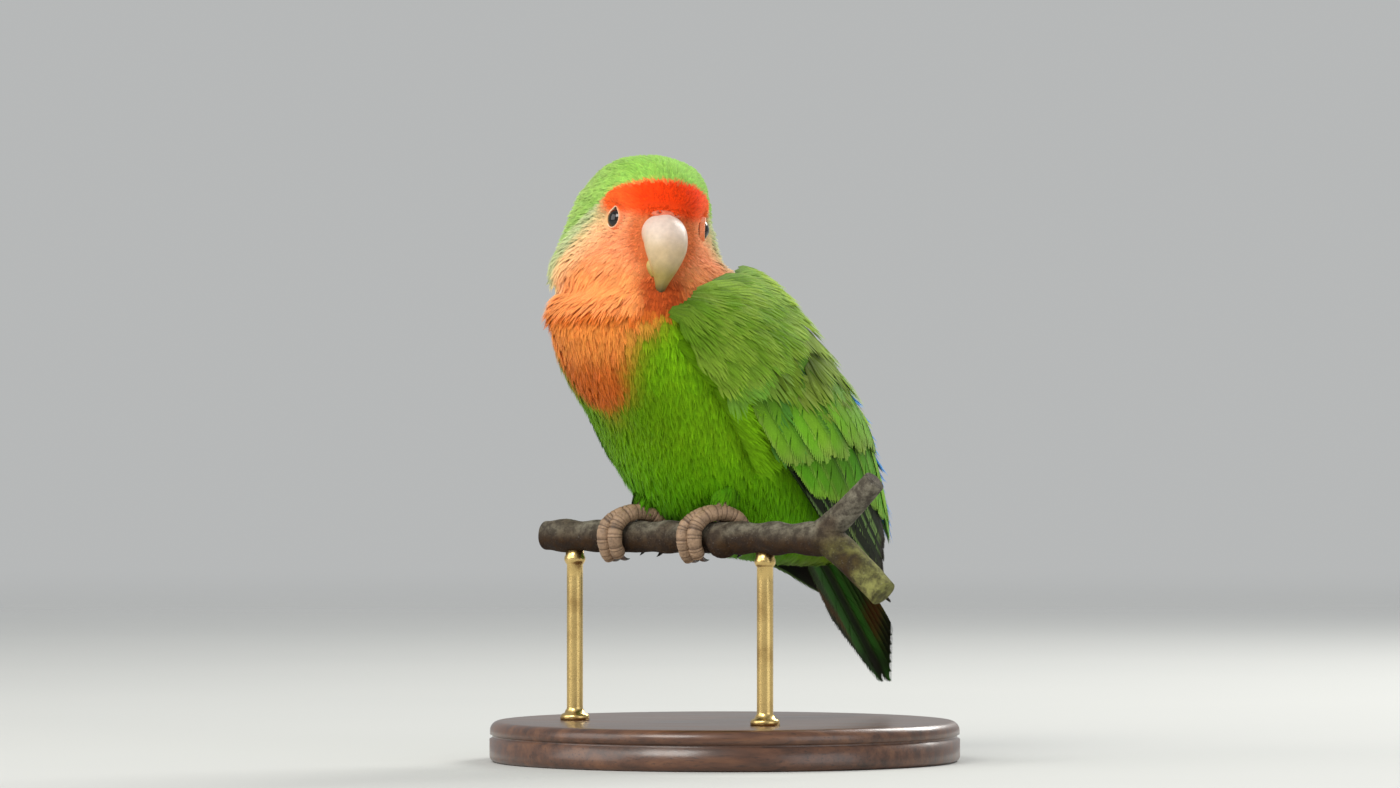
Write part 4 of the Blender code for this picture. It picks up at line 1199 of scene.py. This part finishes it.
def make_trousers():
    """The feathers of the thighs, down over the shanks."""
    for number, word in enumerate(ANKLES):
        draw = np.random.default_rng(SEED + 140 + number)
        ankle, top = shank_line(word)
        along = unit(ankle - top)
        across = unit(np.cross(along, ASIDE))
        count = 520
        turn = draw.uniform(0, 2 * math.pi, count)
        out = across * np.cos(turn)[:, None] + np.cross(along, across) * np.sin(turn)[:, None]
        start = draw.uniform(-0.6, 0.62, count)
        length = draw.uniform(5.0, 7.0, count)
        spine = []
        for step in STEPS:
            radius = 2.4 + 2.6 * (0.62 - start) * (1 - 0.35 * step) + 0.3 * step
            down = start * np.linalg.norm(ankle - top) + length * step * 0.9
            place = top + along * down[:, None] + out * radius[:, None]
            spine.append(place - UP * (0.25 * length * step**2)[:, None])
        spine = np.stack(spine, 1)
        tops = np.repeat(unit(out + nearest_on_skin(spine[:, 0])[1])[:, None], len(STEPS), 1)
        # Darkened to about half: painted shade under the belly.
        colour = mixed(BELLY_LOW, BELLY, draw.random(count) * 0.5) * draw.uniform(0.42, 0.6, (count, 1))
        at = np.stack([0.2 + 0.5 * number + turn * 0.02, 0.5 + 0.2 * start], -1)
        width = draw.uniform(1.2, 1.9, count)
        name = f"leg_{word}_feathers"
        brushes(name, spine, tops, width, colour, at, 5, "torso_feathers", draw, (0.75, 1.05))


def make_tail():
    """Graduated pairs of barbed vanes, the middle pair on top."""
    draw = np.random.default_rng(SEED + 60)
    root, tip = on_axis(*TAIL_ROOT), on_axis(*TAIL_TIP)
    length = np.linalg.norm(tip - root)
    along = (tip - root) / length
    outward = -np.cross(ASIDE, along)
    rows, faces = vane_layout(48, 0.75)
    t, v, up = rows.T
    green, dark, edge, warm = linear(60, 136, 36), linear(20, 14, 9), linear(70, 96, 44), linear(96, 46, 16)
    vanes = []
    for pair, greenness in enumerate(TAIL_GREEN):
        for side in (1, -1):
            lift = (len(TAIL_GREEN) / 2 - pair) * TAIL_STEP - (side - 1) * TAIL_STEP / 4 - TAIL_STEP
            height = lift + up - v * side * 0.15 - 0.15 * v**2
            aside = side * ((0.9 + 0.75 * pair) * (1 - t) + (1.3 + 1.25 * pair) * t)
            reach = length * (0.04 + (0.96 - TAIL_GRADE * pair) * t)
            points = root + along * reach[:, None] + outward * height[:, None]
            points = points + ASIDE * (aside + v * TAIL_VANE_WIDTH / 2 * 0.96)[:, None]
            colour = layered(
                dark,
                (green, (0.1 + 0.75 * smooth(-0.2, 0.3, v * side)) * greenness),
                (edge, smooth(0.75, 1, np.abs(v)) * 0.7),
                (warm, smooth(0.5, 0.62, t) * smooth(0.8, 0.7, t) * 0.55 * (pair > 0)),
                (dark, smooth(0.74, 0.84, t) * smooth(0.97, 0.9, t) * 0.7),
            )
            at = np.array([(0.2 + 0.05 * (pair * 2 + (side > 0)), 0.5)])
            vanes.append((points, faces, colour * draw.uniform(0.9, 1.1), bake_patches(at, t, v)[0]))
    vane_piece("tail_vanes", vanes, "tail_feathers", "tail")


# Bill, eyes and lids
LID_RIM = linear(228, 204, 172)
LID_OUTSIDE = linear(236, 138, 90)
# each horn's colour at its root, and the colours that it takes between two heights
UPPER_BANDS = ((190, 166, 128, 0, -7), (158, 140, 76, -7, -13), (66, 62, 38, -13, -17))
LOWER_BANDS = ((140, 120, 50, -9, -13),)
HORNS = (
    ("upper", UPPER_BILL, (212, 192, 178), UPPER_BANDS),
    ("lower", LOWER_BILL, (190, 166, 96), LOWER_BANDS),
)


def bill_rings(sections, sides=56, step=0.07):
    """Rings of a horn through its sections, with a low ridge along its top."""
    last = len(sections) - 1
    rows = through([(i, *row) for i, row in enumerate(sections)])
    x, z, slope, high, wide = rows(np.minimum(np.arange(0, last + step / 2, step), last))
    down = np.radians(slope)
    turns = around(sides)
    upward = np.stack([np.sin(down), 0 * down, np.cos(down)], -1)[:, None]
    ridge = 1 + 0.05 * np.exp(-((np.minimum(turns, 2 * math.pi - turns) / 0.3) ** 2))
    middle = np.stack([x, 0 * x, z], -1)[:, None]
    points = middle + upward * (high[:, None] * (np.cos(turns) * ridge))[..., None]
    return points + ASIDE * (wide[:, None] * np.sin(turns))[..., None]


def make_bill():
    for word, sections, root, bands in HORNS:
        points, faces = closed(from_head(leaned(bill_rings(sections))))
        z = into_head(points)[:, 2]
        colour = layered(linear(*root), *((linear(*band[:3]), smooth(*band[3:], z)) for band in bands))
        piece(f"bill_{word}_horn", points, faces, "bill", "bill_horn", colour, replaces=[f"bill_{word}"])
    points, faces = closed(ball_rings(CERE_PLACE, CERE_REACH * CERE_SHOWN, 64, 40))
    nostrils = [np.linalg.norm(points - NOSTRIL_PLACE * (1, side, 1), axis=1) for side in SIDES.values()]
    hollow = smooth(NOSTRIL_RADIUS * 1.5, NOSTRIL_RADIUS * 0.5, np.min(nostrils, 0))
    wrinkle = uneven(points, 1.3, SEED + 90) * 0.09
    points = points + unit(CERE_PLACE - points) * (hollow * 0.6 + wrinkle)[:, None]
    # Darker in the nostrils' hollows: painted shade.
    colour = mixed(linear(208, 108, 78), linear(90, 40, 26), hollow)
    piece("cere", from_head(leaned(points)), faces, "lid", "head_feathers", colour)


def make_eyes():
    for word, side in SIDES.items():
        middle, aim = eye_line(side)
        points, faces = closed(ball_rings(middle, (EYE_RADIUS,) * 3))
        angle = np.degrees(np.arccos(np.clip(dot(unit(points - middle), aim), -1, 1)))
        iris = (linear(34, 20, 12), smooth(34, 37, angle))
        colour = layered(linear(3, 2, 2), iris, (linear(8, 6, 5), smooth(44, 50, angle)))
        piece(f"eye_{word}_ball", from_head(points), faces, "eye", "eye", colour, replaces=[f"eye_{word}"])
        make_lids(word, middle, aim)


def make_lids(word, middle, aim):
    """The thin bare ring round an eye, folded finely, with an opening that is pointed at its top."""
    across = unit(np.cross(UP, aim))
    upward = np.cross(aim, across)
    turns = around(120)
    rings, shades = [], []
    for step in np.linspace(0, 1, 13):
        point = 0.75 * (1 - 0.5 * step) * np.exp(-(((turns - math.pi / 2) / 0.42) ** 2))
        wide, high = (opening + LID_REACH * step for opening in LID_OPENING)
        beads = 0.05 * np.sin(turns * 34) * math.sin(math.pi * step)
        depth = 2.02 + 0.33 * math.sin(math.pi * min(1, 1.2 * step)) - 0.9 * step**2
        place = middle + across * (wide * np.cos(turns))[:, None] + aim * (depth + beads)[:, None]
        rings.append(place + upward * (high * np.sin(turns) + point)[:, None])
        # The colour follows the fine folds: painted light on their tops and painted shade between them.
        shades.append(mixed(LID_RIM, LID_OUTSIDE, smooth(0.15, 0.5, step)) * (1 + 2.4 * beads)[:, None])
    whole = np.array(rings + [ring - aim * 0.3 for ring in rings[::-1]])
    count, sides = whole.shape[:2]
    faces = ring_faces(count + 1, sides) % (count * sides)
    colour = np.array(shades + shades[::-1])
    piece(f"lids_{word}", from_head(whole), faces, "lid", "head_feathers", colour)


# Feet and claws
def round_perch(s, degrees, reach):
    """Points round the perch: 0 is its top and 90 its front."""
    turn = np.radians(degrees)
    return on_perch(s, reach * np.sin(turn), reach * np.cos(turn))


def toe_route(ankle, round_it, drift, count):
    """Points along a toe that slants over the perch and then grips it, and each point's share of the way."""
    share = np.linspace(0, 1, count)
    degrees = round_it * share
    slant = np.sin(np.radians(90 * np.minimum(1, np.abs(degrees) / TOE_DRIFTED)))
    return round_perch(ankle + drift * slant, degrees, TOE_REACH), share


def shank_line(word):
    """The ankle and the shank's top, in the bird's frame."""
    s, (ahead, aside, high) = ANKLES[word]
    ankle = round_perch(s, 0.0, TOE_REACH)
    return ankle, np.array((ankle[0] + ahead, ankle[1] + aside, high))


def scaled(route, radii, spacing, deep, sides=32):
    """A limb in rings of scutes: its form and its colours."""
    reach = np.concatenate([[0], np.cumsum(np.linalg.norm(np.diff(route, axis=0), axis=1))])
    drifted = reach + 0.35 * np.sin(reach * 1.9) + 0.2 * np.sin(reach * 4.3)
    ridge = np.abs(np.sin(drifted / spacing * math.pi)) ** 0.6
    relief = (ridge - 0.7)[:, None] * deep * (0.7 + 0.3 * np.cos(around(sides)))
    form = closed(swept(route, radii, 1.0, sides, relief))
    ridge = np.append(np.repeat(ridge, sides), (0.5, 0.5))
    # Lighter on each scute's ridge and darker in the grooves: painted light and painted shade on the relief.
    colour = mixed(linear(76, 56, 40), linear(142, 116, 92), smooth(0.0, 0.8, ridge))
    return form, colour * (1 + 0.45 * uneven(form[0], 3.0, SEED + 70))[:, None]


def make_feet():
    for word in ANKLES:
        parts = []
        for number, (round_it, drift) in enumerate(TOES, 1):
            route, share = toe_route(ANKLES[word][0], round_it, drift, 150)
            knuckle = 0.05 * np.sin(share * math.pi * 4) ** 2
            radii = TOE_RADIUS * (1 - 0.14 * share) * (0.96 + knuckle) * (1 - 0.35 * smooth(0.96, 1, share))
            parts.append(scaled(route, radii, 1.35, 0.085))
            make_claw(f"claw_{word}_{number}", route)
        ankle, top = shank_line(word)
        shank = np.linspace(ankle - UP * 0.6, top, 60)
        parts.append(scaled(shank, np.full(60, SHANK_RADIUS), 1.5, 0.1))
        points, faces = together(*[form for form, _ in parts])
        colour = np.concatenate([colour for _, colour in parts])
        piece(f"foot_{word}", points, faces, "foot", "foot_skin", colour, replaces=[f"leg_{word}"])


def make_claw(name, route):
    end = route[-1]
    onward = unit(end - route[-2])
    inward = unit(PERCH_ALONG * dot(end, PERCH_ALONG) - end)
    sides = 20
    share = np.linspace(0, 1, 30)
    bend = CLAW_BEND * share
    steps = onward * np.cos(bend)[:, None] + inward * np.sin(bend)[:, None]
    centres = end - onward * 0.7 + np.cumsum(steps, axis=0) * CLAW_LENGTH / len(share)
    points, faces = closed(swept(centres, CLAW_RADIUS * (1.02 - 0.97 * share**1.4), 0.82, sides))
    along = np.append(np.repeat(share, sides), (0, 1))
    colour = mixed(linear(110, 92, 84), linear(34, 29, 28), smooth(0.1, 0.7, along))
    piece(name + "_horn", points, faces, "claw", "claw_horn", colour, replaces=[name])


# Perch
def bark_rings(centres, radii, seed, sides=72):
    rings = swept(centres, radii, 1.0, sides)
    out = unit(rings - rings.mean(1, keepdims=True))
    wave = uneven(rings, 9, seed, 2) * 0.16 + uneven(rings, 2.4, seed + 1, 2) * 0.07
    return rings + out * (wave - 0.12)[..., None]


def bark_colours(points):
    """Grey bark, darker and browner underneath as painted shade, with green lichen past the fork."""
    patches = uneven(points, 14, SEED + 87)
    s, high = points @ PERCH_ALONG, points[:, 2]
    lichen = smooth(47, 61, s + 4 * patches) * smooth(3, -4, high) * smooth(-0.5, 0.2, patches)
    return layered(
        linear(130, 124, 108),
        # painted shade: darker and browner underneath
        (linear(60, 40, 20), smooth(3.2, -1.5, high + patches)),
        (linear(76, 58, 40), smooth(0.0, 0.5, patches) * 0.75),
        (linear(158, 160, 92), lichen * 0.75),
    )


def make_perch():
    """The cut branch, with its knot and a lump beside the left foot, and the stub of its fork."""
    places = grid_values(PERCH_START, PERCH_FORK, 0.6)
    gripped = np.min([np.abs(places - grip) for grip in PERCH_GRIPS], 0)
    radii = PERCH_RADIUS + PERCH_SWELL * np.minimum(1.0, gripped / PERCH_FREE) * np.sin(places * PERCH_WAVE)
    reach, drop, radius = PERCH_END
    share = np.linspace(0, 1, 26)[1:]
    falling = on_perch(PERCH_FORK + (reach - PERCH_FORK) * share, 0, drop * share**1.15)
    radii = np.concatenate([radii, PERCH_RADIUS + (radius - PERCH_RADIUS) * share])
    parts = [closed(bark_rings(np.concatenate([on_perch(places), falling]), radii, SEED + 80))]
    for place, reach in ((KNOT_PLACE, KNOT_REACH), (LUMP_PLACE, LUMP_REACH)):
        middle = on_perch(*place)
        ball = ball_rings(middle, reach, 72, 48)
        rough = uneven(ball, 3, SEED + 83) * 0.25 + uneven(ball, 1.1, SEED + 84, 2) * 0.12
        parts.append(closed(ball + unit(ball - middle) * (rough - 0.3)[..., None]))
    reach, rise, radius = TWIG_END
    start, end = on_perch(PERCH_FORK - 3.0), on_perch(reach, 0, rise)
    middle = start * 0.6 + end * 0.4 - UP * rise * 0.08
    t = np.linspace(0, 1, 40)[:, None]
    route = start * (1 - t) ** 2 + middle * 2 * t * (1 - t) + end * t**2
    twig = closed(bark_rings(route, radius + 0.8 * (1 - t[:, 0]), SEED + 85, 56))
    for name, (points, faces) in (("perch", together(*parts)), ("perch_twig", twig)):
        piece(name + "_bark", points, faces, "bark", "bark", bark_colours(points), replaces=[name])


# Stand
def turned(profile, sides=128):
    """Rings of a turned shape from rows of radius and height."""
    turns = around(sides)
    ring = np.stack([np.cos(turns), np.sin(turns), 0 * turns], -1)
    return np.array([r * ring + UP * z for r, z in profile])


def make_stand():
    edge = 1.5
    crown = 2.4
    profile = [(20, 0), (BASE_RADIUS - edge, 0)]
    for t in np.linspace(0, math.pi / 2, 7):
        profile.append((BASE_RADIUS - edge + edge * math.sin(t), edge - edge * math.cos(t)))
    profile += [(BASE_RADIUS - inset, z) for inset, z in ((0, 5.6), (0.7, 5.9), (0.7, 6.5), (0.1, 6.8))]
    for t in np.linspace(0, math.pi / 2, 10):
        profile.append((BASE_RADIUS - crown + 2.3 * math.cos(t), BASE_HEIGHT - crown + crown * math.sin(t)))
    profile += [(40, BASE_HEIGHT), (20, BASE_HEIGHT)]
    points, faces = closed(turned(profile) - BIRD_PLACE @ BIRD_TURN)
    piece("stand_base_wood", points, faces, "wood", "stand_wood", replaces=["stand_base"])
    low = BASE_HEIGHT + 0.05 - PERCH_HEIGHT
    high = -PERCH_RADIUS - 0.1
    profile = [(r, low + z) for r, z in ROD_FOOT]
    profile += [(ROD_RADIUS, z) for z in np.linspace(low + 3.2, high - 3, 12)]
    profile += [(r, high + z) for r, z in ROD_HEAD]
    for name, s in ROD_PLACES.items():
        points, faces = closed(turned(profile, 48) + on_perch(s))
        piece(name + "_brass", points, faces, "brass", "stand_brass", replaces=[name])


# Studio: each lamp's name, place, size, power and colour, and the point that they aim at
LAMPS = (
    ("key", (-0.55, -0.9, 0.95), 0.55, 11.0, (1.0, 0.97, 0.92)),
    ("fill", (0.9, -0.8, 0.35), 0.8, 3.2, (0.93, 0.97, 1.0)),
    ("left", (-1.0, -0.35, 0.5), 0.8, 5.0, (1.0, 0.98, 0.95)),
    ("rim", (0.6, 0.75, 0.7), 0.5, 9.0, (1.0, 0.98, 0.94)),
)
LAMP_AIM = Vector((0, 0, 0.09))
FLOOR_REACH = 6


def make_studio():
    """A pale floor and sky, soft lights, and the camera at the photograph's angle."""
    floor = bpy.data.meshes.new("floor")
    corners = [(x * FLOOR_REACH, y * FLOOR_REACH, 0) for x, y in ((-1, -1), (1, -1), (1, 1), (-1, 1))]
    floor.from_pydata(corners, [], [(0, 1, 2, 3)])
    finish = Finish("floor", Roughness=0.7)
    far = finish.add("VectorMath", "Value", {0: finish.place()}, operation="LENGTH")
    fading = {0: far, 1: 0.1, 2: 2.2, 3: 1.0, 4: 0.0}
    finish.set(Alpha=finish.add("MapRange", 0, fading, interpolation_type="SMOOTHSTEP"))
    shade = finish.blend(linear(196, 198, 196), linear(204, 205, 202), finish.noise(3.0, 2.0))
    floor.materials.append(finish.set(Base_Color=shade))
    ground = linked("floor", floor)
    world = bpy.data.worlds.new("sky")
    world.use_nodes = True
    sky = world.node_tree.nodes["Background"].inputs
    sky["Color"].default_value = (*linear(226, 228, 228), 1)
    sky["Strength"].default_value = 0.62
    scene = bpy.context.scene
    scene.world = world
    for name, place, size, power, colour in LAMPS:
        lamp = bpy.data.lights.new(name, "AREA")
        lamp.size = size
        lamp.energy = power
        lamp.color = colour
        made = linked(name, lamp)
        made.location = place
        made.rotation_mode = "QUATERNION"
        made.rotation_quaternion = (LAMP_AIM - Vector(place)).to_track_quat("-Z", "Y")
    lens = bpy.data.cameras.new("camera")
    lens.lens = 200
    lens.sensor_width = 36
    camera = linked("camera", lens)
    camera.location = (-0.0061, -1.9175, 0.0905)
    camera.rotation_euler = (math.radians(90), 0, 0)
    scene.camera = camera
    scene.view_settings.view_transform = "Standard"


# Everything
# painted shade: the skin's markings darkened in the gaps between the feathers
skin_colours = markings(skin_points) * SKIN_PAINTED_SHADE
replaced = ["head", "neck", "torso"]
piece("skin", skin_points, skin_faces, "body", "torso_feathers", skin_colours, replaces=replaced)
make_coat()
for word, side in SIDES.items():
    make_wing(word, side)
    make_wing_core(word, side)
    make_wing_brushes(word, side)
    make_flanks(word, side)
make_rump()
make_trousers()
make_tail()
make_bill()
make_eyes()
make_feet()
make_perch()
make_stand()
make_studio()
